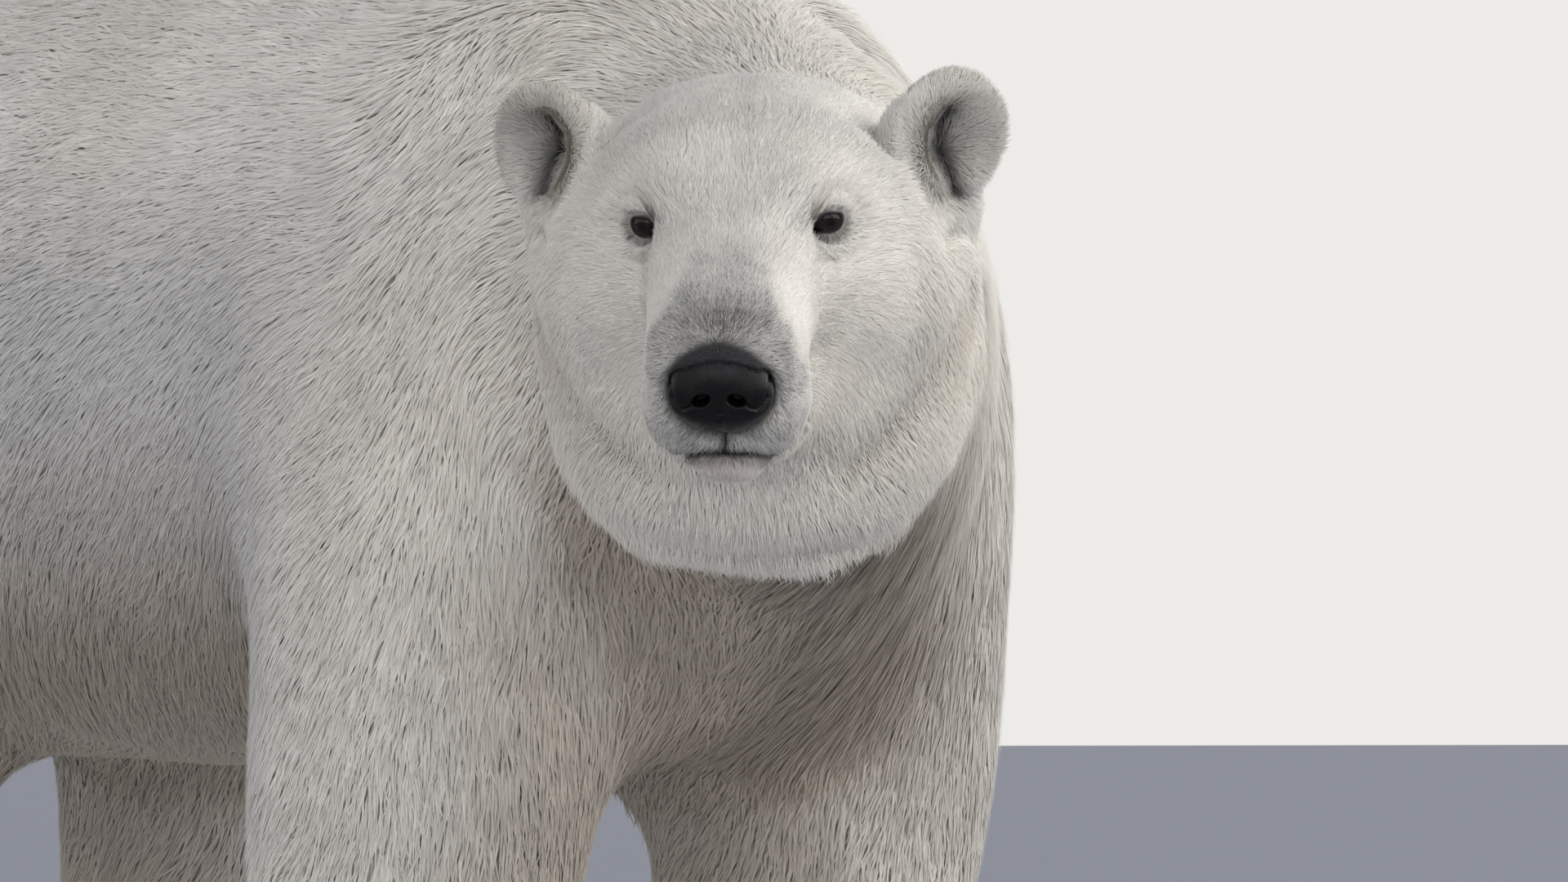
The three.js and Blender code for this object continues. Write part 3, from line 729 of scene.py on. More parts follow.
def stain_and_shade(p, n):
    """A warmer, darker coat on the chest, the belly and the legs' inner sides: partly a stain, partly painted
    shade where the body faces down and inwards.
    """
    x, y, z = p.T
    inner = step(-np.sign(x) * n[:, 0], -0.2, 0.7) * step(-z, -0.78, -0.6)
    under = step(-n[:, 2], 0.0, 0.7) * step(z, 0.10, 0.3)
    chest = step(-y, 0.30, 0.5) * step(-z, -0.86, -0.74) * step(z, 0.4, 0.55)
    chest = chest * step(-np.abs(x + 0.02), -0.30, -0.16)
    share = np.maximum(np.maximum(0.8 * inner, under), 0.8 * chest)
    return share * (1 - head_share(to_head(p)))


def grey_and_shaded_sides(p, n):
    """The flanks and the upper legs, a little greyer than the back and the head: partly a greyer coat, partly
    painted shade on the sides below the lit back.
    """
    side = step(np.abs(n[:, 0]), 0.25, 0.85) * step(p[:, 1], -0.46, -0.24)
    return side * step(-p[:, 2], -1.16, -0.96) * step(p[:, 2], 0.45, 0.75)


def skin_tint(p, n, share):
    return painted(
        WHITE[None, :],
        (CREAM, 0.5 * step(noise(p, 0.09, 2), -1, 1)),
        # the flanks: partly a greyer coat, partly painted shade
        (SIDE_GREY_AND_SHADE, 0.9 * grey_and_shaded_sides(p, n)),
        # the chest, belly and inner legs: partly stain, partly painted shade
        (STAINED_AND_SHADED, 0.74 * stain_and_shade(p, n)),
        # painted shade in the furrow between the cheek and the ruff
        (STAINED_AND_SHADED, 0.25 * share["furrow"]),
        # the chin's pink, partly painted shade under the lip
        (PINK_AND_SHADE * 1.2, 0.8 * share["chin"]),
        (GREY * 0.55, np.clip(share["grey"] * 1.15, 0, 1)),
        (TAUPE * 0.5, 0.8 * share["ear"]),
        (DARK, share["opening"]),
        (DARK, 0.8 * share["crown"]),
        (DARK, share["dark"]),
    )


def coat_tint(p, n, share):
    """The same markings and painted shade in hair, which is paler than the skin under it."""
    return painted(
        WHITE[None, :],
        (CREAM, 0.5 * step(noise(p, 0.22, 8), -0.6, 1)),
        (CREAM * 0.93, 0.35 * step(-p[:, 2], -0.55, -0.05)),
        # the flanks: partly a greyer coat, partly painted shade
        (SIDE_GREY_AND_SHADE, 0.9 * grey_and_shaded_sides(p, n)),
        # the chest, belly and inner legs: partly stain, partly painted shade
        (STAINED_AND_SHADED, 0.74 * stain_and_shade(p, n)),
        # painted shade in the furrow between the cheek and the ruff
        (STAINED_AND_SHADED, 0.22 * share["furrow"]),
        # the chin's pink, partly painted shade under the lip
        (PINK_AND_SHADE * 1.3, 0.5 * share["chin"]),
        (GREY * 1.7, 0.8 * share["grey"]),
        (TAUPE, 0.8 * share["ear"]),
        (TAUPE * 0.3, share["opening"]),
        (SOOTY, 0.8 * share["saddle"]),
        (DARK * 3.0, 0.92 * share["crown"]),
        (DARK * 3, 0.9 * share["dark"]),
    )


# ---- Meshes and materials ----


def add_layer(mesh, name, kind, field, values):
    layer = mesh.attributes.new(name, kind, "POINT")
    layer.data.foreach_set(field, np.asarray(values, np.float32).ravel())


def add_tint(mesh, tint):
    add_layer(mesh, "tint", "FLOAT_COLOR", "color", np.column_stack([tint, np.ones(len(tint))]))


def mesh_object(name, points, faces, tint=None, normals=None, **floats):
    """A mesh of triangles or quads, each row of faces one face."""
    mesh = bpy.data.meshes.new(name)
    mesh.from_pydata(points, [], faces, shade_flat=False)
    mesh.update(calc_edges=True)
    if normals is not None:
        add_layer(mesh, "custom_normal", "FLOAT_VECTOR", "vector", normals)
    if tint is not None:
        add_tint(mesh, tint)
    for key, values in floats.items():
        add_layer(mesh, key, "FLOAT", "value", values)
    piece = bpy.data.objects.new(name, mesh)
    bpy.context.scene.collection.objects.link(piece)
    return piece


class Nodes:
    """A node tree, built by small calls."""

    def __init__(self, tree):
        self.tree = tree

    def node(self, kind, links=None, **settings):
        node = self.tree.nodes.new(kind)
        for key, value in settings.items():
            setattr(node, key, value)
        for key, value in (links or {}).items():
            self.feed(node.inputs[key], value)
        return node

    def feed(self, socket, value):
        if isinstance(value, bpy.types.NodeSocket):
            self.tree.links.new(value, socket)
        else:
            socket.default_value = value


class Paint(Nodes):
    """A material on the Principled shader."""

    def __init__(self, name, roughness=0.6, **inputs):
        self.material = bpy.data.materials.new(name)
        self.material.use_nodes = True
        super().__init__(self.material.node_tree)
        self.shader = self.tree.nodes["Principled BSDF"]
        for key, value in {"Roughness": roughness, **inputs}.items():
            self.feed(self.shader.inputs[key.replace("_", " ")], value)

    def attribute(self, name, output="Color"):
        return self.node("ShaderNodeAttribute", attribute_name=name).outputs[output]

    def place(self):
        return self.node("ShaderNodeTexCoord").outputs["Object"]

    def noise(self, scale, detail, place=None):
        links = {"Vector": place or self.place(), "Scale": scale, "Detail": detail}
        return self.node("ShaderNodeTexNoise", links).outputs["Fac"]

    def ramp(self, fac, low, high, out_low, out_high):
        return self.node(
            "ShaderNodeMapRange",
            {"Value": fac, "From Min": low, "From Max": high, "To Min": out_low, "To Max": out_high},
        ).outputs["Result"]

    def mottle(self, scale, detail, low, high, place=None):
        """Noise stretched to between low and high."""
        return self.ramp(self.noise(scale, detail, place), 0.3, 0.7, low, high)

    def bump(self, height, strength, distance):
        links = {"Height": height, "Strength": strength, "Distance": distance}
        self.feed(self.shader.inputs["Normal"], self.node("ShaderNodeBump", links).outputs["Normal"])

    def colour(self, value, factor=None):
        """The base colour, scaled by a factor where there is one."""
        if factor is not None:
            value = self.node(
                "ShaderNodeVectorMath", {0: value, "Scale": factor}, operation="SCALE"
            ).outputs[0]
        self.feed(self.shader.inputs["Base Color"], value)


def skin_paint():
    paint = Paint("bear_skin", Specular_IOR_Level=0.25)
    paint.colour(paint.attribute("tint"), paint.mottle(160.0, 4.0, 0.86, 1.12))
    bare = paint.attribute("bare", "Fac")
    paint.feed(paint.shader.inputs["Roughness"], paint.ramp(bare, 0.0, 1.0, 0.85, 0.5))
    paint.bump(paint.noise(900.0, 3.0), 0.35, 0.0012)
    return paint.material


def coat_paint():
    """Each lock is streaked along its length, so that it reads as a bundle of hairs."""
    paint = Paint(
        "bear_coat", roughness=0.6, Specular_IOR_Level=0.2, Subsurface_Weight=0.28,
        Subsurface_Radius=(1.0, 0.95, 0.9), Subsurface_Scale=0.004,
    )
    paint.shader.subsurface_method = "BURLEY"
    axes = {axis: paint.attribute(key, "Fac") for axis, key in zip("XYZ", ("across", "along", "seed"))}
    place = paint.node("ShaderNodeCombineXYZ", axes).outputs[0]
    paint.colour(paint.attribute("tint"), paint.mottle(1.0, 2.0, 0.95, 1.04, place))
    return paint.material


def nose_paint():
    paint = Paint("bear_nose", Specular_IOR_Level=0.22)
    pebbles = paint.node(
        "ShaderNodeTexVoronoi", {"Vector": paint.place(), "Scale": 620.0}, feature="DISTANCE_TO_EDGE"
    ).outputs["Distance"]
    paint.colour(paint.attribute("tint"), paint.mottle(120.0, 4.0, 0.7, 1.3))
    paint.feed(paint.shader.inputs["Roughness"], paint.mottle(260.0, 2.0, 0.22, 0.38))
    paint.bump(paint.ramp(pebbles, 0.0, 0.35, 0.0, 1.0), 0.16, 0.0006)
    return paint.material


# the eye's colours over the angle from its gaze's axis, 1 at 60 degrees: pupil, iris and the dark ball
EYE_COLOURS = [
    (0.0, (0.002, 0.002, 0.002, 1)),
    (0.17, (0.003, 0.002, 0.002, 1)),
    (0.23, (0.014, 0.008, 0.006, 1)),
    (0.52, (0.010, 0.006, 0.005, 1)),
    (0.60, (0.004, 0.003, 0.003, 1)),
    (1.0, (0.006, 0.005, 0.004, 1)),
]


def eye_paint():
    paint = Paint("bear_eye", roughness=0.12, Specular_IOR_Level=0.3)
    angle = paint.ramp(paint.attribute("gaze", "Fac"), 0.0, 60.0, 0.0, 1.0)
    ramp = paint.node("ShaderNodeValToRGB", {"Fac": angle})
    points = ramp.color_ramp.elements
    while len(points) < len(EYE_COLOURS):
        points.new(0.5)
    for point, (place, colour) in zip(points, EYE_COLOURS):
        point.position = place
        point.color = colour
    paint.colour(ramp.outputs["Color"], paint.mottle(900.0, 3.0, 0.75, 1.25))
    return paint.material


def claw_paint():
    paint = Paint("bear_claw", roughness=0.35)
    paint.colour(paint.attribute("tint"), paint.mottle(300.0, 3.0, 0.7, 1.35))
    paint.bump(paint.noise(500.0, 2.0), 0.2, 0.0006)
    return paint.material


PAINTS = {
    "skin": skin_paint(),
    "coat": coat_paint(),
    "nose": nose_paint(),
    "eye": eye_paint(),
    "claw": claw_paint(),
}


def settle(piece, paint, nodes=()):
    """Gives a piece its material, its body and the nodes that it replaces."""
    piece.data.materials.append(PAINTS[paint])
    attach(piece, "root")
    if nodes:
        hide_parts(*nodes)


skin_shares = shares(skin_points, skin_normals)
skin_colours = skin_tint(skin_points, skin_normals, skin_shares)
skin = mesh_object("skin", skin_points, skin_quads, skin_colours, bare=skin_shares["dark"])
settle(skin, "skin", FLESH)


# ---- Nose: a leathery pad with nostrils that open into slits at its sides ----

NOSTRIL = (12.8, -3.0)  # out and up from the pad's middle
# out and up, from a nostril round and up the nose's side
SLIT = [(18, -5.0), (22, -8.5), (27, -10.8), (31.5, -9.5), (34.5, -4), (36.5, 4), (37.5, 12)]
PAD_TINT = 0.0042
PAD_TOP_TINT = np.array([0.012, 0.012, 0.014])  # added towards the pad's top, which is lighter


def nose_pad():
    ball = bmesh.new()
    bmesh.ops.create_cube(ball, size=2.0)
    bmesh.ops.subdivide_edges(ball, edges=ball.edges[:], cuts=62, use_grid_fill=True)
    q = np.array([v.co for v in ball.verts])
    faces = np.array([[v.index for v in f.verts] for f in ball.faces])
    ball.free()
    q = unit(np.sign(q) * np.abs(np.tan(q * math.pi / 4)))
    q = q / (np.abs(q) ** NOSE_SQUARE).sum(1, keepdims=True) ** (1 / NOSE_SQUARE)
    x, y, z = (q * NOSE_HALVES).T
    front = step(y, -4, 12)
    x = x * pad_taper(z)
    y = y - pad_lean(z) * front
    out = np.abs(x)
    low = (z - NOSTRIL[1] + 0.18 * (out - NOSTRIL[0])) / 5.0
    nostril = step(np.exp(-(((out - NOSTRIL[0]) / 7.0) ** 2) - low**2), 0.30, 0.80) * front
    slit = step(-from_path(out, z, SLIT), -2.8, -0.2) * step(y, -14, -4)
    bulb = step(out, 24, 32) * step(z, -8, 2) * step(-z, -20, -8) * front
    wing = np.exp(-(((out - 23) / 7) ** 2) - ((z + 1) / 9) ** 2) * front
    x = x - np.sign(x) * 2.4 * slit * step(out, 24, 33)
    y = y - 13.0 * nostril - 2.2 * slit * front + 1.6 * wing + 1.0 * bulb
    y = y - 2.8 * hump(x, 1.6) * step(-z, 15, 19) * front
    y = y - 1.0 * hump(x, 2.6) * step(-z, -2, 12) * front
    sill = np.exp(-(((z + 15.5 - 0.016 * x * x) / 1.5) ** 2)) * hump(x, 12) * front
    y = y - 1.6 * sill
    # the nostrils and slits are painted darker: painted shade in the openings
    tint = PAD_TINT * np.ones(3) * (1 - 0.95 * np.maximum(nostril, 0.6 * slit))[:, None]
    tint = tint + PAD_TOP_TINT * step(z, 10, 26)[:, None]
    points = from_head(np.stack([x, y, z], 1) + NOSE_MIDDLE)
    return points, faces, tint


nose_points, nose_faces, nose_tint = nose_pad()
nose = mesh_object("nose_pad", nose_points, nose_faces, nose_tint)
settle(nose, "nose", ["nose"])


# ---- Eyes ----


def eyeball(eye):
    """A ball with the cornea's low bulge round the gaze's axis, its z."""
    ball = bmesh.new()
    bmesh.ops.create_uvsphere(ball, u_segments=48, v_segments=32, radius=1.0)
    q = np.array([v.co for v in ball.verts])
    bmesh.ops.triangulate(ball, faces=ball.faces[:])
    faces = np.array([[v.index for v in f.verts] for f in ball.faces])
    ball.free()
    angle = np.degrees(np.arccos(np.clip(q[:, 2], -1, 1)))
    radius = EYE_RADIUS + 0.7 * (1 - step(angle, 18, 42))
    points = eye.world(q * radius[:, None])
    if eye.side == "right":
        faces = faces[:, ::-1]
    return points, faces, angle


for eye in eyes:
    points, faces, angle = eyeball(eye)
    piece = mesh_object(f"eyeball_{eye.side}", points, faces, gaze=angle)
    settle(piece, "eye", [f"eye_{eye.side}"])


# ---- Claws: curved horns, the solids' own with their edges rounded ----

HORN = np.array([0.030, 0.024, 0.020])


def claws():
    points, triangles = joined([weld(*faces_of(node)) for node in CLAWS])
    piece = mesh_object("claws", points, triangles)
    rounding = piece.modifiers.new("round", "SUBSURF")
    rounding.levels = rounding.render_levels = 2
    graph = bpy.context.evaluated_depsgraph_get()
    rounded = bpy.data.meshes.new_from_object(piece.evaluated_get(graph))
    piece.modifiers.clear()
    piece.data = rounded
    height = np.array([v.co.z for v in rounded.vertices])
    add_tint(rounded, HORN * (0.6 + 0.8 * step(-height, -0.03, -0.012))[:, None])
    return piece


settle(claws(), "claw", CLAWS)


# ---- The coat: where each tuft grows, how long it is and which way it lies ----

FILL = {  # how many layers of tufts cover the skin
    "muzzle": 7.4, "brow": 8.6, "cheek": 8.6, "neck": 10.0, "shoulder": 10.0, "flank": 7.6,
    "rump": 7.2, "foreleg": 5.8, "hindleg": 5.8,
}
PATCH = 0.0015  # half of a tuft's patch on the OFBake map
RING_GROWS = 13.4  # hair grows on a lid's ring up to here, and on the shell round it from the next
SHELL_GROWS = 14.0
# a lock's colour at its root, its two sides and its tip; the root's darker, warmer tone is painted shade deep
# between the locks
LOCK_TONES = np.array([[0.97, 0.95, 0.92], [0.99, 0.985, 0.98], [0.99, 0.985, 0.98], [1.02, 1.02, 1.02]])
LEAST_LENGTH, LENGTH_RANGE = 0.75, 0.5  # shares of a lock's own size
LEAST_WIDTH, WIDTH_RANGE = 0.7, 0.6
LEAST_STAND, STAND_RANGE = 0.60, 0.44  # how far the tips stand off, in shares of the coat's depth
SHAGGY_LENGTH, SHAGGY_STAND = 0.45, 0.35  # how much longer and higher a shaggy lock is
ROOT_DEPTH = 0.0008
FLOOR_GAP = 0.0004
BACK = np.array([0, 1.0, 0])
DOWN = np.array([0, 0, -1.0])


def lie_of(p, n):
    """The way the coat lies: back from the nose, down the flanks and legs, forward on the paws."""
    q = to_head(p)
    left, ahead, up = q.T
    height = p[:, 2:3]
    out = np.abs(left)
    from_nose = unit(q - np.array([0, 172, -52]))
    side = step(out, 40, 120)[:, None]
    under = step(-up, 70, 150)[:, None]
    below_ear = (step(out, 105, 135) * step(-up, -6, 30) * step(up, -190, -90))[:, None]
    on_face = from_nose + DOWN * (0.30 * side + 0.85 * under + 1.5 * below_ear)
    for s in SIDES.values():
        root = np.array([s * 138, -132, 20])
        share = (ear_share(q) * step(up, -32, 8) * (np.sign(left) == s))[:, None]
        on_face = on_face * (1 - share) + unit(q - root) * share
    for eye in eyes:
        a, b, h = eye.local(q).T
        away = unit(a[:, None] * eye.axes[0] + b[:, None] * eye.axes[1])
        near = step(-np.hypot(a, b), -EYE_REACH, -13) * (np.abs(h) < EYE_REACH)
        on_face = on_face + 2.2 * away * near[:, None]
    lip = step(ahead, 100, 124) * step(-up, 92, 104) * step(up, -142, -132) * step(-out, -38, -26)
    outwards = np.column_stack([np.sign(left) * step(out, 0, 5), 0 * left, 0 * left])
    on_face = (on_face + lip[:, None] * (outwards + 0.5 * DOWN)) @ HEAD
    down = 0.12 + 0.75 * step(-height, -1.12, -0.85) + 1.5 * step(-height, -0.86, -0.62)
    flank = BACK + DOWN * down
    rump = step(p[:, 1:2], 0.70, 0.98)
    flank = flank + rump * np.array([0, -0.55, -0.9])
    leg = DOWN + BACK * (0.35 + 0.5 * step(height, 0.3, 0.6))
    on_leg = step(-height, -0.72, -0.55)
    body = flank * (1 - on_leg) + leg * on_leg
    toes = step(-height, -0.16, -0.08)
    body = body * (1 - toes) + np.array([0, -1.0, -0.55]) * toes
    neck = step(-p[:, 1:2], 0.38, 0.62) * step(height, 0.62, 0.8)
    body = body + neck * np.array([0.25, 0.2, -0.35])
    breast = step(-n[:, 1:2], 0.1, 0.7) * step(-p[:, 1:2], 0.2, 0.4)
    body = body * (1 - 0.85 * breast) + np.array([0, 0.1, -1.4]) * breast
    share = head_share(q)[:, None]
    lie = unit(body) * (1 - share) + unit(on_face) * share
    turn = 0.15 * noise(p, 0.12, 21) + 0.06 * noise(p, 0.03, 22)
    lie = unit(lie - n * (lie * n).sum(1, keepdims=True))
    across = np.cross(n, lie)
    return unit(lie + across * turn[:, None])


def growth(p, share):
    """0 where nothing grows: the rims, the mouth, the pad's place and under the soles."""
    grow = 1 - step(share["rim"], 0.35, 0.9)
    grow = grow * step(pad_field(to_head(p)), 0.95, 1.05) * (1 - 0.35 * share["crown"])
    grow = grow * (1 - 0.9 * step(share["dark"] - share["rim"], 0.3, 0.7))
    grow = grow * (1 - 0.75 * share["opening"])
    return grow * (1 - step(-p[:, 2], -0.012, -0.004))


quad_mid = skin_points[skin_quads].mean(1)
across = crossed(skin_points, skin_quads)
quad_area = np.linalg.norm(across, axis=1) / 2
quad_grow = growth(quad_mid, shares(quad_mid, unit(across)))
quad_coat = coat_depth(quad_mid)
under_ring = np.zeros(len(quad_mid), bool)
ring_edge = np.zeros(len(quad_mid), bool)
for eye in eyes:
    a, b, h = eye.local(to_head(quad_mid)).T
    s = eye.beyond(a, b)[0]
    round_eye = np.hypot(a, b) < EYE_REACH
    under_ring |= (s < SHELL_GROWS) & (np.abs(h) < 40) & round_eye
    ring_edge |= (s > RING_GROWS) & round_eye
is_lid = skin_quads[:, 0] >= len(head_points) + len(body_points)
on_body = ~is_lid & (skin_quads[:, 0] >= len(head_points))
lapped = np.where(on_body, along_head(quad_mid) > HEAD_CUT, along_head(quad_mid) < HEAD_CUT)
quad_grow = np.where((under_ring & ~is_lid) | (ring_edge & is_lid) | lapped, 0, quad_grow)


def lock_size(coat, p):
    """Length and width of the locks, where the coat has a depth."""
    q = to_head(p)
    share = head_share(q)
    length = 0.020 + 2.7 * coat
    width = 0.0008 + 0.028 * length
    short = 0.0028 + 1.75 * coat
    for eye in eyes:
        a, b, h = eye.local(q).T
        short = short * (1 - 0.45 * step(-np.hypot(a, b), -24, -12) * (np.abs(h) < EYE_REACH))
    short = short * (1 - 0.5 * crown_share(q))
    length = length + (short - length) * share
    return length, width + (0.0002 + 0.040 * short - width) * share


def fringe(p, n):
    """1 where the coat hangs shaggy: the cheek's edge, the ruff's, the elbows, the belly and the hams."""
    q = to_head(p)
    out = np.abs(q[:, 0])
    edge = hump(from_path(out, q[:, 2], CHEEK_EDGE), 13) * jowl_share(q)
    y, z = p.T[1:]
    behind = step(n[:, 1], 0.2, 0.8) * step(z, 0.12, 0.2) * step(-z, -0.75, -0.6)
    belly = step(-n[:, 2], 0.2, 0.8) * step(z, 0.25, 0.4)
    ruff = step(-n[:, 2], 0.0, 0.6) * step(-y, 0.45, 0.6) * (1 - head_share(q))
    return np.maximum(np.maximum(edge, 0.8 * behind), np.maximum(0.7 * belly, ruff))


def roots(chosen, fill):
    """Places spread evenly over the chosen quads, with their normals and quads."""
    length, width = lock_size(quad_coat[chosen], quad_mid[chosen])
    want = quad_area[chosen] * quad_grow[chosen] * fill / (length * width)
    count = np.floor(np.cumsum(want) + 0.5)
    count = np.diff(count, prepend=0).astype(int)
    which = np.repeat(chosen, count)
    u, v = rng.random((2, len(which), 1))
    p = 0
    n = 0
    for corner, weight in zip(skin_quads[which].T, [(1 - u) * (1 - v), u * (1 - v), u * v, (1 - u) * v]):
        p = p + skin_points[corner] * weight
        n = n + skin_normals[corner] * weight
    return p, unit(n), which


def spread(values):
    """Values put in order and spaced evenly from 0 to 1."""
    place = np.empty(len(values))
    place[np.argsort(values, kind="stable")] = np.linspace(0.004, 0.996, len(values))
    return place


def tufts(part, mask, unwrap, side=""):
    """One coat piece: a bent, ridged lock at each root, tapering to its tip."""
    p, n, which = roots(np.flatnonzero(mask), FILL[part])
    count = len(p)
    coat = quad_coat[which]
    lie = lie_of(p, n)
    length, width = lock_size(coat, p)
    length = length * (LEAST_LENGTH + LENGTH_RANGE * rng.random(count))
    width = width * (LEAST_WIDTH + WIDTH_RANGE * rng.random(count))
    stand = coat * (LEAST_STAND + STAND_RANGE * rng.random(count) ** 0.7)
    shaggy = fringe(p, n) * (rng.random(count) < 0.5)
    length = length * (1 + SHAGGY_LENGTH * shaggy)
    stand = stand * (1 + SHAGGY_STAND * shaggy)
    gather = noise(p, 0.012 + 0.2 * coat.mean(), 31) * 0.14 + noise(p, 0.03 + coat.mean(), 32) * 0.18
    yaw = gather + 0.10 * rng.standard_normal(count)
    way = unit(lie + np.cross(n, lie) * yaw[:, None])
    beside = np.cross(n, way)
    bend = (0.07 * rng.standard_normal(count))[:, None]
    length, width, stand = length[:, None], width[:, None], stand[:, None]
    root = p - n * ROOT_DEPTH
    waist = p + way * length * 0.42 + n * stand * 0.74 + beside * length * bend
    tip = p + way * length + n * stand
    left = waist - beside * width * 0.5
    right = waist + beside * width * 0.5
    points = np.stack([root, left, right, tip], 1).reshape(-1, 3)
    points[:, 2] = np.maximum(points[:, 2], FLOOR_GAP)
    start = 4 * np.arange(count)[:, None, None]
    triangles = (start + np.array([[0, 1, 2], [1, 3, 2]])).reshape(-1, 3)
    share = shares(p, n)
    speckled = step(share["grey"], 0.04, 0.3)
    fleck = rng.random(count)
    plain = np.maximum(share["dark"], share["crown"])
    tint = painted(
        coat_tint(p, n, share),
        (GREY * 0.6, speckled * (fleck < 0.28 * np.minimum(2.0 * share["grey"], 1)) * 0.6),
        (WHITE * 0.9, speckled * (fleck > 0.74) * 0.5 * (1 - plain)),
    )
    face = head_share(to_head(p))[:, None]
    uneven = (0.035 + 0.025 * face) * rng.standard_normal((count, 1))
    tint = tint * (1 + uneven + 0.05 * noise(p, 0.024, 41)[:, None])
    colours = np.clip(tint[:, None, :] * LOCK_TONES[None], 0, 0.95).reshape(-1, 3)
    roll = beside * (0.20 + 0.18 * face)
    own = np.stack([n - way * 0.1, n - roll, n + roll, n + way * 0.1], 1)
    seed = np.repeat(rng.random(count) * 400, 4)
    piece = mesh_object(
        "_".join(["coat", part] + [side] * bool(side)), points, triangles, colours,
        unit(own).reshape(-1, 3), seed=seed,
        across=np.tile([0.0, -1.4, 1.4, 0.0], count), along=np.tile([0, 0.4, 0.4, 1.0], count),
    )
    u, v = unwrap(p)
    place = np.stack([spread(u), spread(v)], 1)
    offsets = np.array([[0, -1], [-1, 0], [1, 0], [0, 1]]) * PATCH
    uv = (place[:, None, :] + offsets[None]).reshape(-1, 2)
    layer = piece.data.uv_layers.new(name="OFBake", do_init=False)
    layer.uv.foreach_set("vector", uv[triangles.ravel()].astype(np.float32).ravel())
    settle(piece, "coat")


# each gives two measures of a root's place, round a form and along it, for its OFBake patch


def round_head(p):
    q = to_head(p)
    return np.arctan2(q[:, 0], q[:, 2] + 70), q[:, 1]


def round_trunk(p):
    return np.arctan2(p[:, 0], p[:, 2] - 0.93), p[:, 1]


def round_leg(p):
    centre = p.mean(0)
    return np.arctan2(p[:, 0] - centre[0], p[:, 1] - centre[1]), p[:, 2]


# the pieces run into each other over a few centimetres, so that no line shows between them
HEAD_DRIFT = (12, 16)  # millimetres, to the side and along
BODY_DRIFT = 0.04
FACE_PARTS = (45, -45)  # millimetres ahead of the eyes where the brow begins and ends
LEG_TOP = 0.60
NECK_END, FLANK_START, RUMP_START = -0.42, 0.05, 0.62
FORELEGS_END = 0.2

drift = np.random.default_rng(5).normal(size=(3, len(quad_mid)))
quad_head = to_head(quad_mid)
head_left, head_ahead = (quad_head[:, i] + HEAD_DRIFT[i] * drift[i] for i in range(2))
is_head = (along_head(quad_mid) > HEAD_CUT) & ~on_body
x, y, z = quad_mid.T + BODY_DRIFT * drift
is_leg = ~is_head & (z < LEG_TOP)
is_neck = ~is_head & ~is_leg & (y < NECK_END)
is_trunk = ~is_head & ~is_leg & ~is_neck
is_left = np.where(is_leg, quad_mid[:, 0], x) > 0
is_cheek = is_head & (head_ahead <= FACE_PARTS[1])

tufts("muzzle", is_head & (head_ahead > FACE_PARTS[0]), round_head)
tufts("brow", is_head & (head_ahead <= FACE_PARTS[0]) & ~is_cheek, round_head)
for side, s in SIDES.items():
    here = is_left == (s > 0)
    tufts("cheek", is_cheek & (np.sign(head_left) == s), round_head, side)
    tufts("neck", is_neck & here, round_trunk, side)
    tufts("shoulder", is_trunk & here & (y < FLANK_START), round_trunk, side)
    tufts("flank", is_trunk & here & (y >= FLANK_START) & (y < RUMP_START), round_trunk, side)
    tufts("rump", is_trunk & here & (y >= RUMP_START), round_trunk, side)
    tufts("foreleg", is_leg & here & (y < FORELEGS_END), round_leg, side)
    tufts("hindleg", is_leg & here & (y >= FORELEGS_END), round_leg, side)


# ---- Camera, floor and light ----

CAMERA_AZIMUTH = math.radians(-30.0)
CAMERA_TILT = math.radians(-1.15)
CAMERA_DISTANCE = 9.7
CAMERA_AIM = (0.035, -0.156)  # right and up in the picture from between the eyes, in metres
LENS = 307.2

FLOOR_REACH = 200.0
FLOOR_TINT = (0.29, 0.305, 0.36, 1)
HORIZON = (0.85, 0.835, 0.81, 1)
CEILING = (0.34, 0.36, 0.40, 1)
SKY_RISE = (0.20, 0.62)  # the heights of the sky between which it turns from horizon to ceiling
SUNS = {  # strength, the way towards it, how wide it is in degrees, and its colour
    "key": (0.8, (3.0, -3.7, 1.8), 50, (1.0, 0.985, 0.955)),
    "rim": (1.2, (4.8, 0.4, 2.1), 50, (1.0, 0.99, 0.97)),
    "fill": (0.95, (-2.6, -4.8, -0.4), 70, (0.93, 0.97, 1.0)),
}


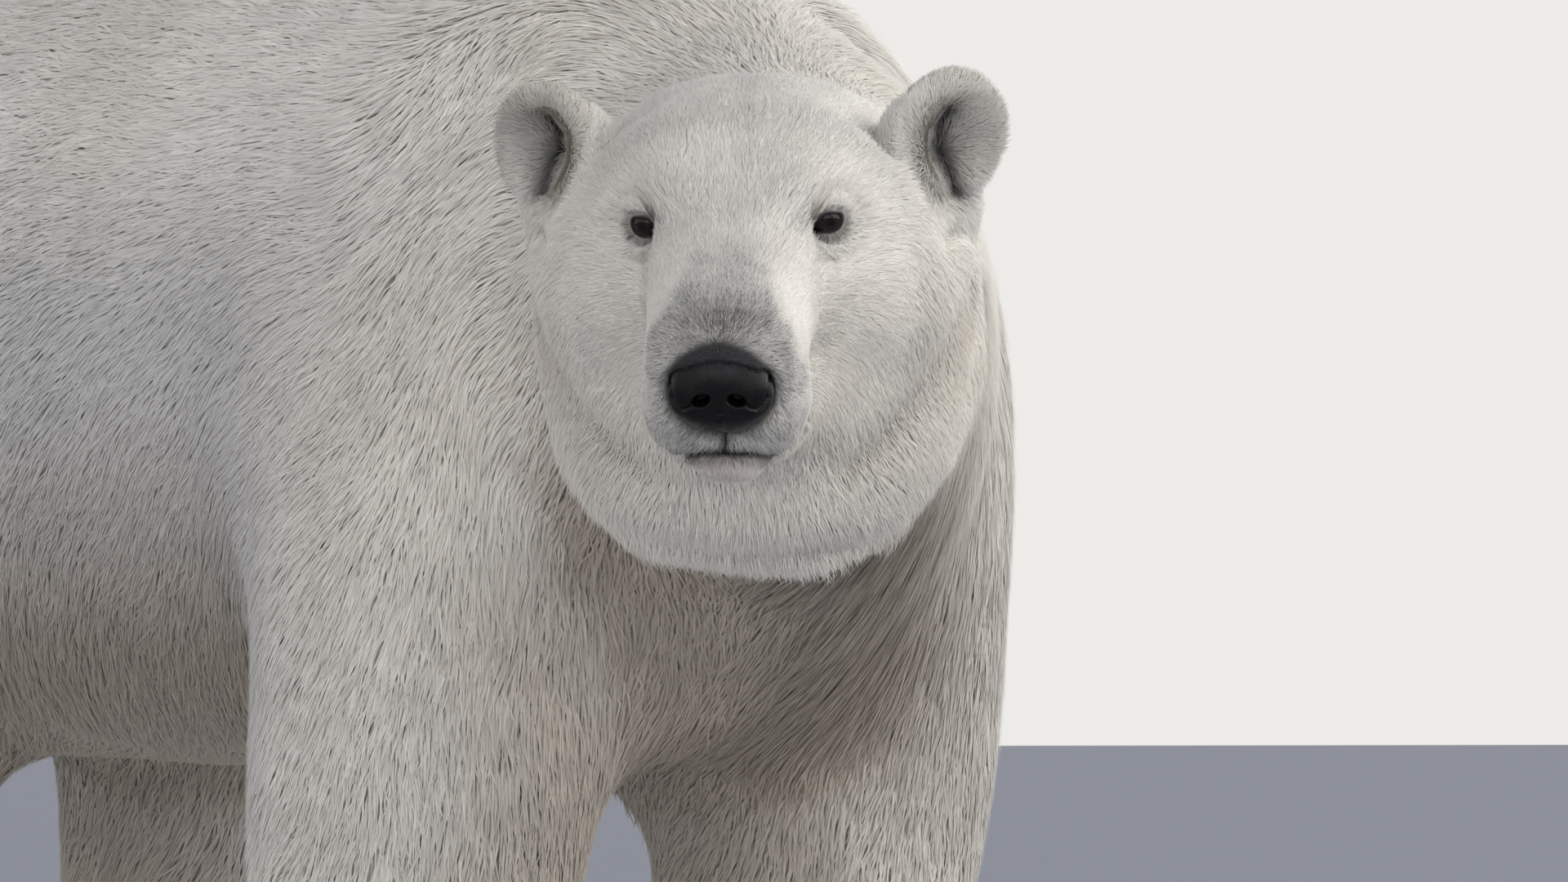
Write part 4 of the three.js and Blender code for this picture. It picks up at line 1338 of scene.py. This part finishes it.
def set_camera():
    data = bpy.data.cameras.new("camera")
    data.sensor_width = 36.0
    data.lens = LENS
    data.clip_end = 500.0
    camera = bpy.data.objects.new("camera", data)
    bpy.context.scene.collection.objects.link(camera)
    a, e = CAMERA_AZIMUTH, CAMERA_TILT
    right = Vector((math.cos(a), math.sin(a), 0))
    back = Vector((math.sin(a) * math.cos(e), -math.cos(a) * math.cos(e), math.sin(e)))
    up = back.cross(right)
    between = Vector((EYES["left"] + EYES["right"]) / 2)
    aim = between + right * CAMERA_AIM[0] + up * CAMERA_AIM[1]
    camera.location = aim + back * CAMERA_DISTANCE
    camera.rotation_mode = "QUATERNION"
    camera.rotation_quaternion = back.to_track_quat("Z", "Y")
    bpy.context.scene.camera = camera


def lay_floor():
    corners = FLOOR_REACH * np.array([[-1, -1, 0], [1, -1, 0], [1, 1, 0], [-1, 1, 0]])
    floor = mesh_object("floor", corners, np.array([[0, 1, 2, 3]]))
    paint = Paint("floor", roughness=0.9)
    paint.colour(FLOOR_TINT)
    floor.data.materials.append(paint.material)
    floor.visible_shadow = False  # light comes up through it to the throat, as it does off snow


def hang_suns():
    for name, (strength, towards, wide, colour) in SUNS.items():
        data = bpy.data.lights.new(name, "SUN")
        data.energy = strength
        data.color = colour
        data.angle = math.radians(wide)
        lamp = bpy.data.objects.new(name, data)
        lamp.rotation_mode = "QUATERNION"
        lamp.rotation_quaternion = Vector(towards).to_track_quat("Z", "Y")
        bpy.context.scene.collection.objects.link(lamp)


def set_world():
    world = bpy.data.worlds.new("studio")
    world.use_nodes = True
    sky = Nodes(world.node_tree)
    direction = sky.node("ShaderNodeTexCoord").outputs["Generated"]
    height = sky.node("ShaderNodeSeparateXYZ", {0: direction}).outputs["Z"]
    rise = sky.node(
        "ShaderNodeMapRange", {"Value": height, "From Min": SKY_RISE[0], "From Max": SKY_RISE[1]},
        interpolation_type="SMOOTHSTEP",
    ).outputs["Result"]
    blend = sky.node("ShaderNodeMix", {"Factor": rise, "A": HORIZON, "B": CEILING}, data_type="RGBA")
    sky.feed(sky.tree.nodes["Background"].inputs["Color"], blend.outputs["Result"])
    bpy.context.scene.world = world


bpy.context.scene.view_settings.view_transform = "Standard"
set_camera()
lay_floor()
set_world()
hang_suns()
